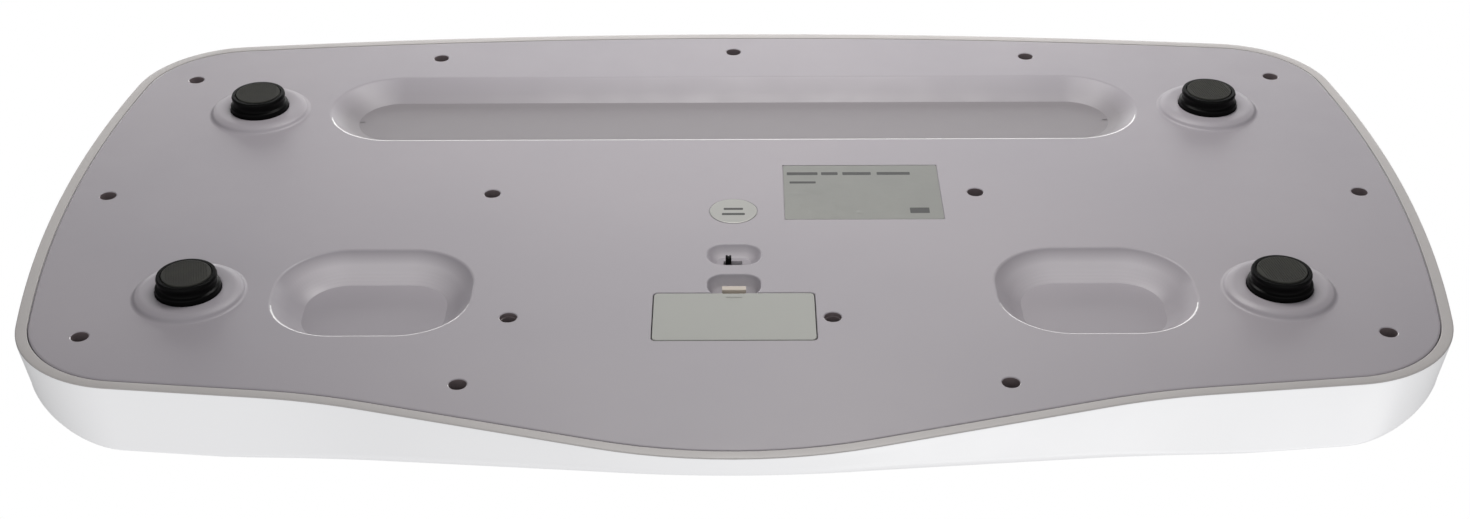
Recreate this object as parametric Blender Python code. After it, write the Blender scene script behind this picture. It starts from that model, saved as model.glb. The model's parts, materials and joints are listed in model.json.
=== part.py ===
"""Electronic baby scale: a white cradle tray screwed to a grey bottom cover on four load-cell feet.

Metres, +Z up, standing on its foot pads at z = 0. Length along X, display at the front (-Y).
Heights in this file are measured from the cover's flat outer face unless a name says otherwise.
"""
import math

import bmesh
import bpy
import numpy as np
from mathutils import Matrix, Vector

MM = 0.001
GAP = 0.3 * MM                      # between pieces that touch

# ---- overall sizes -------------------------------------------------------------------------------
BODY_WIDTH = 560.0 * MM
BODY_DEPTH = 337.0 * MM
FRONT_WALL = 30.7 * MM              # rim above the cover face along the front
END_WALL = 45.0 * MM                # rim above the cover face at the two ends
BACK_WALL = 38.0 * MM               # rim above the cover face in the middle of the back
TALLEST_WALL = 60.0 * MM            # a height that is clear of every rim
SHELL = 2.5 * MM                    # wall of both mouldings
ROOT = 0.4 * SHELL                  # where posts and walls start inside the plate they stand on

# ---- outline, as corners that are rounded --------------------------------------------------------
SIDE_PEAK_OUT = 8.1 * MM            # how far the side's corner stands out before it is bowed
SIDE_PEAK_Y = 15.0 * MM
REAR_PEAK_OUT = 11.7 * MM
REAR_CORNER_IN = 14.6 * MM
REAR_CORNER_DROP = 15.8 * MM
REAR_CORNER_RADIUS = 48.0 * MM
FRONT_CORNER_IN = 14.2 * MM
FRONT_CORNER_RISE = 48.1 * MM       # above the tip of the chin
FRONT_CORNER_RADIUS = 50.0 * MM
CHIN_ROOT_X = 153.2 * MM            # where the chin leaves the front edge
CHIN_ROOT_RISE = 35.8 * MM
CHIN_ROOT_RADIUS = 240.0 * MM
CHIN_PEAK_OUT = 7.1 * MM
CHIN_RADIUS = 185.0 * MM

# ---- tray ----------------------------------------------------------------------------------------
RIM_WIDTH = 4.5 * MM                # tray edge seen around the cover
WALL_DRAFT = 2.6 * MM
FLANK_ROUND = 1.5 * MM              # radius of the upper edge along front and back
END_ROUND = 13.6 * MM               # radius of the upper edge at the ends
INNER_ROUND = 1.5 * MM
ROUND_RINGS = 4
CROWN_START = 82.0 * MM             # from the tip of the chin back to where the ends begin to rise
CROWN_RUN = 115.0 * MM
LIP_WIDTH = 9.0 * MM
FACET_SLOPE = 27.5                  # display panel, degrees
FACET_TOP_BACK = 43.3 * MM          # from the tip of the chin back to the panel's upper edge
DISH_FRONT_BACK = 52.0 * MM         # from the tip of the chin back to the hollow
DISH_FLOOR = 18.0 * MM
DISH_CENTRE_Y = 18.0 * MM
DISH_END_POWER = 2.4                # gentle rise towards the ends
DISH_SIDE_POWER = 7.0               # steep rise at front and back

DISH_SHARES = (0.955, 0.87, 0.74, 0.54, 0.20)   # rings of the hollow, from its lip to its middle
PILOT_LAND = 3.2 * MM               # panel left over the display board's screw pilots
PILOT_REACH = 12.0 * MM
CLEAR = 5.0 * MM                    # how far a cutter stands out of what it cuts

# ---- feet and load cells -------------------------------------------------------------------------
FOOT_FROM_SIDE = 69.2 * MM
FRONT_FOOT_FROM_CHIN = 107.9 * MM
REAR_FOOT_FROM_BACK = 77.5 * MM
FOOT_DROP = 6.9 * MM                # foot below its collar
COLLAR_HEIGHT = 2.4 * MM
COLLAR_RADIUS = 21.6 * MM
COLLAR_ROUND = 2.7 * MM
FOOT_HOLE_RADIUS = 12.9 * MM
FOOT_HOLE_CHAMFER = 0.3 * MM
COLLAR_LAND = 2.2 * MM              # flat ring around the foot's hole
COLLAR_ROUND_STEPS = 3
FOOT_PLAY = 0.35 * MM
FOOT_RADIUS = 11.8 * MM
FOOT_BAND_HEIGHT = 1.9 * MM
FOOT_FLANGE_RADIUS = 14.6 * MM
FOOT_FLANGE_HEIGHT = 1.8 * MM
FOOT_FLANGE_PLAY = 1.0 * MM
FOOT_SOLE_CHAMFER = 1.1 * MM
FOOT_SHOULDER = 0.7 * MM
FOOT_STEM_RADIUS = 5.0 * MM
PAD_RADIUS = 9.6 * MM
PAD_THICKNESS = 1.2 * MM
PAD_PROUD = 0.4 * MM
PAD_CHAMFER = 0.2 * MM
CELL_LENGTH = 34.0 * MM
CELL_WIDTH = 24.0 * MM
CELL_THICKNESS = 2.0 * MM
CELL_HEIGHT = 5.0 * MM
CELL_EAR = 5.0 * MM                 # plate beyond the bending length, at each end
CELL_CORNER = 3.0 * MM
CELL_SLIT = 1.8 * MM
CELL_SLIT_SHARE = 0.36
CELL_POST_RADIUS = 2.4 * MM
CELL_POST_OUT = 2.2 * MM
COVER_Z = FOOT_DROP + COLLAR_HEIGHT  # height of the cover's flat face above the table

# ---- screws --------------------------------------------------------------------------------------
SCREW_HEAD_RADIUS = 2.8 * MM
SCREW_HEAD_PLAY = 0.55 * MM
SCREW_HOLE_RADIUS = SCREW_HEAD_RADIUS + SCREW_HEAD_PLAY
SCREW_HEAD_HEIGHT = 2.0 * MM
SCREW_SHANK_RADIUS = 1.4 * MM
SCREW_LENGTH = 8.0 * MM
SCREW_SEAT = 6.6 * MM               # depth of the counterbore
POST_RADIUS = 5.0 * MM
POST_HEIGHT = 8.4 * MM
BOSS_RADIUS = 4.0 * MM
PCB_SCREW_HEAD_RADIUS = 2.2 * MM
PCB_SCREW_HEAD_HEIGHT = 1.4 * MM
PCB_SCREW_SHANK_RADIUS = 1.0 * MM
PCB_SCREW_LENGTH = 4.6 * MM
PCB_POST_RADIUS = 2.6 * MM
PCB_PILOT_DEPTH = 5.5 * MM

# ---- recesses in the cover -----------------------------------------------------------------------
REAR_RECESS_LENGTH = 359.0 * MM
REAR_RECESS_WIDTH = 59.8 * MM
REAR_RECESS_FROM_BACK = 75.3 * MM   # its middle from the back edge
REAR_RECESS_DEPTH = 7.0 * MM
REAR_RECESS_SLOPE = 10.5 * MM
GRIP_LENGTH = 77.5 * MM
GRIP_WIDTH = 62.0 * MM
GRIP_FROM_SIDE = 140.0 * MM
GRIP_FROM_CHIN = 109.0 * MM
GRIP_DEPTH = 10.0 * MM
GRIP_SLOPE = 9.4 * MM
GRIP_CORNER = 27.0 * MM

RECESS_SLOPE_SHARE = 0.88           # part of the slope that is straight
RECESS_FOOT_RISE = 1.2 * MM
RECESS_FOOT_RUN = 1.5 * MM
SMALL_RECESS_WALL = 1.5 * MM
STADIUM = 0.499                     # corner radius of the rear recess, of its width

# ---- battery bay and door ------------------------------------------------------------------------
DOOR_WIDTH = 62.6 * MM
DOOR_DEPTH = 33.4 * MM
DOOR_FROM_CHIN = 90.5 * MM          # its middle from the tip of the chin
DOOR_THICKNESS = 2.0 * MM
DOOR_CORNER = 2.0 * MM
DOOR_PLAY = 0.35 * MM
BAY_ROOF = 1.5 * MM
BAY_WALL = 1.6 * MM
CELL_BUTTON_RADIUS = 10.0 * MM      # 20 mm coin cell
CELL_BUTTON_HEIGHT = 3.2 * MM
NEST_WALL = 1.4 * MM
NEST_NOTCH = 5.0 * MM               # half the width of the finger notch
COIN_SEAT = 0.4 * MM
COIN_CHAMFER = 0.3 * MM
COIN_STEP_RISE = 0.6 * MM
COIN_STEP_IN = 1.2 * MM
NEGATIVE_TAIL = 0.55 * CELL_BUTTON_RADIUS
CONTACT_THICKNESS = 0.4 * MM
CONTACT_WIDTH = 5.0 * MM
BAY_DEPTH = DOOR_THICKNESS + COIN_SEAT + CELL_BUTTON_HEIGHT + CONTACT_THICKNESS + 2 * GAP
CATCH_WIDTH = 9.3 * MM
CATCH_THICKNESS = 1.1 * MM
CATCH_GAP = 1.8 * MM                # open slot of the sprung catch
CATCH_PAD = 2.9 * MM
CATCH_DEPTH = 4.4 * MM
HOOK_WIDTH = 6.0 * MM
HOOK_X = 20.0 * MM
HOOK_REACH = 2.2 * MM
HOOK_THICKNESS = 1.2 * MM
HOOK_ROOT = 3.2 * MM
HOOK_POCKET_PLAY = 0.5 * MM
CATCH_SUNK = 0.25 * MM
CATCH_ROOT = 1.0 * MM
CATCH_LEG_OUT = 0.8 * MM
CATCH_PLAY = 0.6 * MM
CATCH_ROOM = 2.0 * MM
FINGER_WIDTH = 21.0 * MM
FINGER_REACH = 13.6 * MM
FINGER_DEPTH = 6.0 * MM
FINGER_SLOPE = 2.2 * MM
FINGER_OVERLAP = 1.0 * MM           # under the door's back edge
FINGER_CORNER_SHARE = 0.48

# ---- unit switch ---------------------------------------------------------------------------------
SWITCH_FROM_CHIN = 135.5 * MM
SWITCH_RECESS_LENGTH = 21.8 * MM
SWITCH_RECESS_WIDTH = 16.0 * MM
SWITCH_RECESS_DEPTH = 4.0 * MM
SWITCH_RECESS_SLOPE = 2.6 * MM
SWITCH_CORNER_SHARE = 0.45
SWITCH_TRAVEL = 3.6 * MM
SWITCH_LEVER_WIDTH = 2.3 * MM
SWITCH_LEVER_REST_X = 2.2 * MM
SWITCH_LEVER_DROP = 3.1 * MM
SWITCH_LEVER_DEPTH = 2.0 * MM
SWITCH_LEVER_PLAY = 0.75 * MM
SWITCH_SLOT_PLAY = 0.4 * MM
SWITCH_ROOT = (0.9 * MM, 1.3 * MM, 1.2 * MM)    # overhang, half its depth and its height
SWITCH_ROOT_LIFT = 0.4 * MM
SWITCH_WELL_DEPTH = 2.0 * MM
SWITCH_BODY = (13.0 * MM, 5.6 * MM, 3.3 * MM)

# ---- circuit boards ------------------------------------------------------------------------------
BOARD = 1.6 * MM
MAIN_BOARD_WIDTH = 58.0 * MM
MAIN_BOARD_LENGTH = 78.0 * MM
MAIN_BOARD_HEIGHT = 9.5 * MM
MAIN_BOARD_BACK_FROM_CHIN = 146.5 * MM
CHIP_SIZE = (14.0 * MM, 14.0 * MM, 1.6 * MM)
CHIP_CORNER = 0.8 * MM
CHIP_PLACE = (-8.0 * MM, 14.0 * MM)  # from the board's middle
BOARD_CORNER = 1.5 * MM
DECK_FROM_CHIN = 21.5 * MM          # middle of the display from the tip of the chin
WINDOW = (66.0 * MM, 27.0 * MM, 1.2 * MM)
WINDOW_CORNER = 2.0 * MM
WINDOW_SUNK = 0.1 * MM
LCD = (60.0 * MM, 22.0 * MM, 2.6 * MM)
LCD_CORNER = 0.5 * MM
LCD_FRAME_CORNER = 1.0 * MM
LCD_WELL_CORNER = 0.6 * MM
LCD_BORDER = 1.5 * MM               # hidden by the viewing hole's edge
CONNECTOR_SHARE = 0.4
CONNECTOR_EDGES = (3.0 * MM, 1.0 * MM)
LCD_FRAME_WALL = 1.6 * MM
DISPLAY_BOARD_DROP = 8.2 * MM       # board's upper face below the panel
DISPLAY_BOARD_CENTRE = (72.0 * MM, 24.0 * MM)
DISPLAY_BOARD_ARM = (140.0 * MM, 12.0 * MM)
BUTTON_X = 60.0 * MM
BUTTON_UP = 6.0 * MM                # button line above the display's middle, along the panel
BUTTON_RADIUS = 6.5 * MM
BUTTON_PROUD = 0.9 * MM
BUTTON_FLANGE = 1.1 * MM
BUTTON_FLANGE_HEIGHT = 0.8 * MM
BUTTON_FLANGE_DROP = 0.4 * MM
BUTTON_STEM_RADIUS = 2.5 * MM
BUTTON_STEM_LIFT = 0.8 * MM         # above the tact switch: its travel and a little play
TACT_SIZE = 6.0 * MM
TACT_HEIGHT = 2.5 * MM
TACT_WELL = (2.0 * MM, 1.2 * MM)    # radius and depth
TACT_PLUNGER_RADIUS = 1.7 * MM
TACT_PLUNGER_ROOT = 0.2 * MM
DECK_SCREW_X = 45.0 * MM
RIBBON_WIDTH = 12.0 * MM
RIBBON_THICKNESS = 0.8 * MM
LEAD_RADIUS = 0.9 * MM
LEAD_HEIGHT = 4.4 * MM

# ---- label and sticker ---------------------------------------------------------------------------
LABEL_WIDTH = 65.0 * MM
LABEL_DEPTH = 45.0 * MM
LABEL_CENTRE = (-53.4 * MM, 16.9 * MM)
LABEL_THICKNESS = 0.15 * MM
LABEL_SUNK = 0.05 * MM
LABEL_CORNER = 0.8 * MM
STICKER_RADIUS = 9.7 * MM
STICKER_CENTRE = (0.2 * MM, 1.1 * MM)
STICKER_THICKNESS = 0.15 * MM

# ---- places that follow from the sizes above -----------------------------------------------------
HALF_WIDTH = BODY_WIDTH / 2
REAR_Y = BODY_DEPTH / 2
CHIN_Y = -BODY_DEPTH / 2
FOOT_X = HALF_WIDTH - FOOT_FROM_SIDE
FOOT_PLACES = {
    "front_left": (FOOT_X, CHIN_Y + FRONT_FOOT_FROM_CHIN),
    "front_right": (-FOOT_X, CHIN_Y + FRONT_FOOT_FROM_CHIN),
    "rear_left": (FOOT_X, REAR_Y - REAR_FOOT_FROM_BACK),
    "rear_right": (-FOOT_X, REAR_Y - REAR_FOOT_FROM_BACK),
}
REAR_RECESS_Y = REAR_Y - REAR_RECESS_FROM_BACK
GRIP_X = HALF_WIDTH - GRIP_FROM_SIDE
GRIP_Y = CHIN_Y + GRIP_FROM_CHIN
DOOR_Y = CHIN_Y + DOOR_FROM_CHIN
DOOR_FRONT_Y = DOOR_Y - DOOR_DEPTH / 2
DOOR_BACK_Y = DOOR_Y + DOOR_DEPTH / 2
SWITCH_Y = CHIN_Y + SWITCH_FROM_CHIN
MAIN_BOARD_Y = CHIN_Y + MAIN_BOARD_BACK_FROM_CHIN - MAIN_BOARD_LENGTH / 2
MAIN_BOARD_POSTS = [(side * 23.0 * MM, CHIN_Y + 141.0 * MM) for side in (1, -1)]
FACET_TOP_Y = CHIN_Y + FACET_TOP_BACK
DISH_FRONT_Y = CHIN_Y + DISH_FRONT_BACK
DECK_Y = CHIN_Y + DECK_FROM_CHIN
LABEL_CUT_DEPTH = LABEL_SUNK + LABEL_THICKNESS + GAP

# Case screws: near the outline first, then the four inner ones.
SCREW_PLACES = [
    (0.0, REAR_Y - 19.4 * MM),
    (HALF_WIDTH - 144.0 * MM, REAR_Y - 25.0 * MM),
    (-HALF_WIDTH + 144.0 * MM, REAR_Y - 25.0 * MM),
    (HALF_WIDTH - 34.4 * MM, REAR_Y - 46.5 * MM),
    (-HALF_WIDTH + 34.4 * MM, REAR_Y - 46.5 * MM),
    (HALF_WIDTH - 19.5 * MM, 15.7 * MM),
    (-HALF_WIDTH + 19.5 * MM, 15.7 * MM),
    (HALF_WIDTH - 34.4 * MM, CHIN_Y + 78.0 * MM),
    (-HALF_WIDTH + 34.4 * MM, CHIN_Y + 78.0 * MM),
    (100.6 * MM, 16.4 * MM),
    (-100.6 * MM, 16.4 * MM),
    (100.4 * MM, CHIN_Y + 45.8 * MM),
    (-100.4 * MM, CHIN_Y + 45.8 * MM),
    (85.8 * MM, CHIN_Y + 90.2 * MM),
    (-DOOR_WIDTH / 2 - 6.2 * MM, CHIN_Y + 89.8 * MM),
]

ARC_STEP = math.radians(13.0)
ARC_SHARE = 0.98                    # of the room between its neighbours, for the fullest arc
LONG_STEP = 42.0 * MM
ROUND_STEPS = 16
SMALL_STEPS = 8


# ---- materials -----------------------------------------------------------------------------------
def material(name, colour, roughness=0.5, metallic=0.0, alpha=1.0):
    """A Principled material with the piece's own colour."""
    made = bpy.data.materials.new(name)
    made.use_nodes = True
    shader = made.node_tree.nodes["Principled BSDF"]
    shader.inputs["Base Color"].default_value = (*colour, 1.0)
    shader.inputs["Roughness"].default_value = roughness
    shader.inputs["Metallic"].default_value = metallic
    shader.inputs["Alpha"].default_value = alpha
    made.diffuse_color = (*colour, alpha)
    return made


def make_materials():
    """Every finish on the scale, by name."""
    return {
        "white": material("white_plastic", (0.80, 0.80, 0.80), 0.35),
        "grey": material("grey_plastic", (0.42, 0.41, 0.43), 0.45),
        "door": material("door_plastic", (0.40, 0.41, 0.37), 0.5),
        "black": material("black_plastic", (0.01, 0.01, 0.01), 0.25),
        "pad": material("grip_pad", (0.045, 0.045, 0.04), 0.9),
        "steel": material("plated_steel", (0.55, 0.55, 0.56), 0.3, 1.0),
        "cell": material("cell_steel", (0.62, 0.62, 0.63), 0.25, 1.0),
        "board": material("green_board", (0.02, 0.16, 0.07), 0.4),
        "chip": material("chip_resin", (0.02, 0.02, 0.022), 0.5),
        "glass": material("display_glass", (0.36, 0.42, 0.36), 0.1),
        "window": material("clear_window", (0.75, 0.8, 0.8), 0.05, 0.0, 0.35),
        "button": material("button_plastic", (0.55, 0.57, 0.60), 0.4),
        "label": material("silver_label", (0.35, 0.37, 0.34), 0.35, 0.3),
        "sticker": material("silver_sticker", (0.62, 0.62, 0.62), 0.3, 0.6),
        "lead": material("lead_sheath", (0.10, 0.10, 0.11), 0.5),
        "ribbon": material("ribbon_sheath", (0.55, 0.55, 0.56), 0.5),
    }


# ---- outlines ------------------------------------------------------------------------------------
def round_corners(corners, radii):
    """Closed outline through corners, each rounded by its radius; None takes the largest that fits."""
    count = len(corners)
    points = [Vector(corner) for corner in corners]
    turns, reaches = [], []
    for index, corner in enumerate(points):
        arriving = (corner - points[index - 1]).normalized()
        leaving = (points[(index + 1) % count] - corner).normalized()
        turn = math.atan2(arriving.cross(leaving), arriving.dot(leaving))
        turns.append(turn)
        radius = radii[index]
        reaches.append(None if radius is None else radius * math.tan(abs(turn) / 2))
    for index, reach in enumerate(reaches):
        if reach is None:
            after = (index + 1) % count
            room_before = (points[index] - points[index - 1]).length - reaches[index - 1]
            room_after = (points[after] - points[index]).length - reaches[after]
            reaches[index] = ARC_SHARE * min(room_before, room_after)
    outline = []
    for index, corner in enumerate(points):
        arriving = (corner - points[index - 1]).normalized()
        turn, reach = turns[index], reaches[index]
        radius = reach / math.tan(abs(turn) / 2)
        side = Vector((-arriving.y, arriving.x)) * (1 if turn > 0 else -1)
        start = corner - arriving * reach
        centre = start + side * radius
        steps = 2 * math.ceil(max(abs(turn) / ARC_STEP, abs(turn) * radius / LONG_STEP) / 2)
        for step in range(steps + 1):
            angle = turn * step / steps
            spoke = Matrix.Rotation(angle, 2) @ (start - centre)
            outline.append(tuple(centre + spoke))
    return spaced(outline)


def spaced(outline):
    """The outline with long straight runs divided and repeated points dropped."""
    result = []
    for index, point in enumerate(outline):
        following = outline[(index + 1) % len(outline)]
        length = math.dist(point, following)
        if length < 0.05 * MM:
            continue
        parts = max(1, math.ceil(length / LONG_STEP))
        for part in range(parts):
            share = part / parts
            result.append((point[0] + (following[0] - point[0]) * share,
                           point[1] + (following[1] - point[1]) * share))
    return result


def inset(outline, distance):
    """Each point moved inwards by one distance, or by its own (outlines run anticlockwise)."""
    count = len(outline)
    distances = distance if isinstance(distance, list) else [distance] * count
    moved = []
    for index, point in enumerate(outline):
        before, after = outline[index - 1], outline[(index + 1) % count]
        along = Vector((after[0] - before[0], after[1] - before[1])).normalized()
        moved.append((point[0] - along.y * distances[index], point[1] + along.x * distances[index]))
    return moved


def body_outline():
    """Outline of the whole scale at the cover's face, anticlockwise seen from above."""
    side_x = HALF_WIDTH + SIDE_PEAK_OUT
    rear_x = HALF_WIDTH - REAR_CORNER_IN
    front_x = HALF_WIDTH - FRONT_CORNER_IN
    front_y = CHIN_Y + FRONT_CORNER_RISE
    root_y = CHIN_Y + CHIN_ROOT_RISE
    corners = [
        (0.0, CHIN_Y - CHIN_PEAK_OUT),
        (CHIN_ROOT_X, root_y),
        (front_x, front_y),
        (side_x, SIDE_PEAK_Y),
        (rear_x, REAR_Y - REAR_CORNER_DROP),
        (0.0, REAR_Y + REAR_PEAK_OUT),
        (-rear_x, REAR_Y - REAR_CORNER_DROP),
        (-side_x, SIDE_PEAK_Y),
        (-front_x, front_y),
        (-CHIN_ROOT_X, root_y),
    ]
    front, rear, root = FRONT_CORNER_RADIUS, REAR_CORNER_RADIUS, CHIN_ROOT_RADIUS
    return round_corners(corners, [CHIN_RADIUS, root, front, None, rear, None, rear, None, front, root])


def rounded_rectangle(width, depth, radius, centre=(0.0, 0.0)):
    """Anticlockwise rectangle with equal round corners."""
    x, y = width / 2, depth / 2
    corners = [(-x, -y), (x, -y), (x, y), (-x, y)]
    outline = round_corners(corners, [radius] * 4)
    return [(point[0] + centre[0], point[1] + centre[1]) for point in outline]


def circle(radius, steps, centre=(0.0, 0.0)):
    """Anticlockwise circle."""
    turn = 2 * math.pi / steps
    return [(centre[0] + radius * math.cos(turn * step), centre[1] + radius * math.sin(turn * step))
            for step in range(steps)]


# ---- solids --------------------------------------------------------------------------------------
def ring_at(outline, z):
    """Outline lifted to one height."""
    return [(x, y, z) for x, y in outline]


def loft(name, rings, finish=None, closed=False):
    """Solid skinned through rings of equal count; the ends are capped, or joined when closed."""
    size = len(rings[0])
    verts = [point for ring in rings for point in ring]
    faces = []
    last = len(rings) if closed else len(rings) - 1
    for level in range(last):
        low, high = level * size, ((level + 1) % len(rings)) * size
        for index in range(size):
            after = (index + 1) % size
            faces.append((low + index, low + after, high + after, high + index))
    if not closed:
        faces.append(tuple(reversed(range(size))))
        faces.append(tuple((len(rings) - 1) * size + index for index in range(size)))
    return solid(name, verts, faces, finish)


def solid(name, verts, faces, finish=None):
    """Object from points and faces, with its faces turned outwards."""
    mesh = bpy.data.meshes.new(name)
    mesh.from_pydata(verts, [], faces)
    work = bmesh.new()
    work.from_mesh(mesh)
    bmesh.ops.recalc_face_normals(work, faces=work.faces)
    work.to_mesh(mesh)
    work.free()
    made = bpy.data.objects.new(name, mesh)
    bpy.context.scene.collection.objects.link(made)
    if finish:
        mesh.materials.append(finish)
    return made


def turned(name, profile, finish=None, steps=ROUND_STEPS, centre=(0.0, 0.0)):
    """Round piece from (radius, height) pairs, capped at both ends."""
    return loft(name, [ring_at(circle(radius, steps, centre), z) for radius, z in profile], finish)


def slab(name, outline, low, high, finish=None):
    """Flat piece between two heights."""
    return loft(name, [ring_at(outline, low), ring_at(outline, high)], finish)


def box(name, low, high, finish=None):
    """Box between two corners."""
    outline = [(low[0], low[1]), (high[0], low[1]), (high[0], high[1]), (low[0], high[1])]
    return slab(name, outline, low[2], high[2], finish)


def combine(target, tools, operation, solver="EXACT"):
    """Boolean of target with each tool in turn; the tools are used up."""
    for tool in tools:
        change = target.modifiers.new("change", "BOOLEAN")
        change.operation = operation
        change.solver = solver
        change.object = tool
        bpy.context.view_layer.update()
        graph = bpy.context.evaluated_depsgraph_get()
        result = bpy.data.meshes.new_from_object(target.evaluated_get(graph))
        target.modifiers.clear()
        old = target.data
        finish = old.materials[0] if old.materials else None
        target.data = result
        result.materials.clear()
        if finish:
            result.materials.append(finish)
        bpy.data.meshes.remove(old)
        bpy.data.objects.remove(tool)
    return target


def joined(name, pieces):
    """One tool from several pieces that stay clear of each other."""
    work = bmesh.new()
    for piece in pieces:
        work.from_mesh(piece.data)
        bpy.data.objects.remove(piece)
    mesh = bpy.data.meshes.new(name)
    work.to_mesh(mesh)
    work.free()
    made = bpy.data.objects.new(name, mesh)
    bpy.context.scene.collection.objects.link(made)
    return made


def place(piece, location=(0.0, 0.0, 0.0), parent=None, smooth=True):
    """Stand a finished piece in its place, under its parent."""
    piece.location = location
    piece.parent = parent
    if smooth:
        piece.data.shade_smooth()
        piece.data.set_sharp_from_angle(angle=math.radians(35))
    return piece


def about(piece, point):
    """Move the piece's own origin to a point, leaving the shape where it is."""
    piece.data.transform(Matrix.Translation(-Vector(point)))
    piece.location = Vector(point)
    return piece


def empty(name, location, tilt=0.0, parent=None):
    """Empty that carries pieces."""
    holder = bpy.data.objects.new(name, None)
    holder.location = location
    holder.rotation_euler = (tilt, 0.0, 0.0)
    holder.parent = parent
    bpy.context.scene.collection.objects.link(holder)
    return holder


# ---- tray ----------------------------------------------------------------------------------------
def smoothstep(value):
    """Soft ramp from 0 to 1."""
    value = min(1.0, max(0.0, value))
    return value * value * (3 - 2 * value)


def rim_height(x, y):
    """Height of the tray's rim: level along the front, higher at the ends and the back."""
    at_end = smoothstep((abs(x) - 0.50 * HALF_WIDTH) / (0.48 * HALF_WIDTH))
    backwards = smoothstep((y - 0.30 * REAR_Y) / (0.65 * REAR_Y))
    crown = at_end * smoothstep((y - CHIN_Y - CROWN_START) / CROWN_RUN)
    back = (BACK_WALL - FRONT_WALL) * backwards * (1 - crown)
    return FRONT_WALL + (END_WALL - FRONT_WALL) * crown + back


def top_height(x, y):
    """Height of the tray's upper edge, with the display panel sloping down over the chin."""
    return rim_height(x, y) - math.tan(math.radians(FACET_SLOPE)) * max(0.0, FACET_TOP_Y - y)


def edge_radii(outline):
    """Radius of the upper edge at each point: small along front and back, large where it faces an end."""
    radii = []
    for index, before in enumerate(outline[-1:] + outline[:-1]):
        after = outline[(index + 1) % len(outline)]
        facing_end = abs(after[1] - before[1]) / math.dist(before, after)
        radii.append(FLANK_ROUND + (END_ROUND - FLANK_ROUND) * smoothstep(facing_end))
    return radii


def rounded_edge(outline, start, radii, drop):
    """Rings up the wall and over its round upper edge, dropped by the wall's thickness."""
    rings = []
    for step in range(ROUND_RINGS + 1):
        angle = math.radians(90) * step / ROUND_RINGS
        ring = inset(outline, [start + radius * (1 - math.cos(angle)) for radius in radii])
        rings.append([(x, y, top_height(x, y) - drop - radius * (1 - math.sin(angle)))
                      for (x, y), radius in zip(ring, radii)])
    return rings


def behind(outline, front_y):
    """Outline whose front is brought back to a line across the scale."""
    return [(x, max(y, front_y)) for x, y in outline]


def dish_rings(lip, floor, drop):
    """Rings of the hollow from the lip to its middle, dropped by the wall's thickness."""
    rings = []
    for share in DISH_SHARES:
        ring = []
        for x, y in lip:
            across = Vector((x, y - DISH_CENTRE_Y))
            endwards = (x / across.length) ** 2
            power = DISH_SIDE_POWER + (DISH_END_POWER - DISH_SIDE_POWER) * endwards
            rise = (top_height(x, y) - floor) * share ** power
            ring.append((x * share, DISH_CENTRE_Y + (y - DISH_CENTRE_Y) * share, floor + rise - drop))
        rings.append(ring)
    return rings


def lip_rings(outline, start, radii, front_y, drop):
    """Rings along the panel's upper edge and along the lip of the hollow."""
    rings = []
    for share, line in ((0.5, FACET_TOP_Y), (1.0, front_y)):
        ring = inset(outline, [start + radius + share * LIP_WIDTH for radius in radii])
        rings.append([(x, y, top_height(x, y) - drop) for x, y in behind(ring, line)])
    return rings


def tray_block(outline):
    """Solid block under the tray's upper surface."""
    radii = edge_radii(outline)
    rings = [ring_at(outline, 0.0)]
    rings += rounded_edge(outline, WALL_DRAFT, radii, 0.0)
    rings += lip_rings(outline, WALL_DRAFT, radii, DISH_FRONT_Y, 0.0)
    lip = [(x, y) for x, y, _ in rings[-1]]
    rings += dish_rings(lip, DISH_FLOOR, 0.0)
    return loft("tray_shell", rings)


def tray_hollow(outline):
    """Space inside the tray, open at the cover."""
    start = WALL_DRAFT + SHELL
    radii = [max(INNER_ROUND, radius - SHELL) for radius in edge_radii(outline)]
    slant = SHELL / math.cos(math.radians(FACET_SLOPE))
    mouth = inset(outline, RIM_WIDTH)
    rings = [ring_at(mouth, -SHELL), ring_at(mouth, SHELL + GAP)]
    rings += rounded_edge(outline, start, radii, slant)
    rings += lip_rings(outline, start, radii, DISH_FRONT_Y + SHELL, slant)
    lip = [(x, y) for x, y, _ in rings[-1]]
    rings += dish_rings(lip, DISH_FLOOR, SHELL)
    return loft("tray_hollow", rings)


def deck_frame():
    """Matrix of the display panel: origin on its face, local +Z out of it, local +Y up the slope."""
    point = (0.0, DECK_Y, top_height(0.0, DECK_Y))
    return Matrix.Translation(point) @ Matrix.Rotation(math.radians(FACET_SLOPE), 4, "X")


def on_deck(tool):
    """Tool shaped in the panel's own frame, brought to the panel."""
    tool.data.transform(deck_frame())
    return tool


def panel_cuts():
    """Cuts through the display panel: window rebate, viewing hole and button holes."""
    seat = rounded_rectangle(WINDOW[0] + 2 * GAP, WINDOW[1] + 2 * GAP, WINDOW_CORNER + GAP)
    rebate = slab("rebate", seat, -WINDOW[2] - 2 * GAP, CLEAR)
    opening = rounded_rectangle(LCD[0] - 2 * LCD_BORDER, LCD[1] - 2 * LCD_BORDER, LCD_FRAME_CORNER)
    below = -SHELL - CLEAR
    cuts = [rebate, slab("view", opening, below, CLEAR)]
    for side in (1, -1):
        hole = circle(BUTTON_RADIUS + GAP, ROUND_STEPS, (side * BUTTON_X, BUTTON_UP))
        cuts.append(slab("button_hole", hole, below, CLEAR))
    return [on_deck(cut) for cut in cuts]


def deck_pins(name, radius, low, high):
    """Round pins at the display board's screws, as one tool in the panel's place."""
    pins = [slab(name, circle(radius, SMALL_STEPS, (side * DECK_SCREW_X, BUTTON_UP)), low, high)
            for side in (1, -1)]
    return joined(name, [on_deck(pin) for pin in pins])


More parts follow.
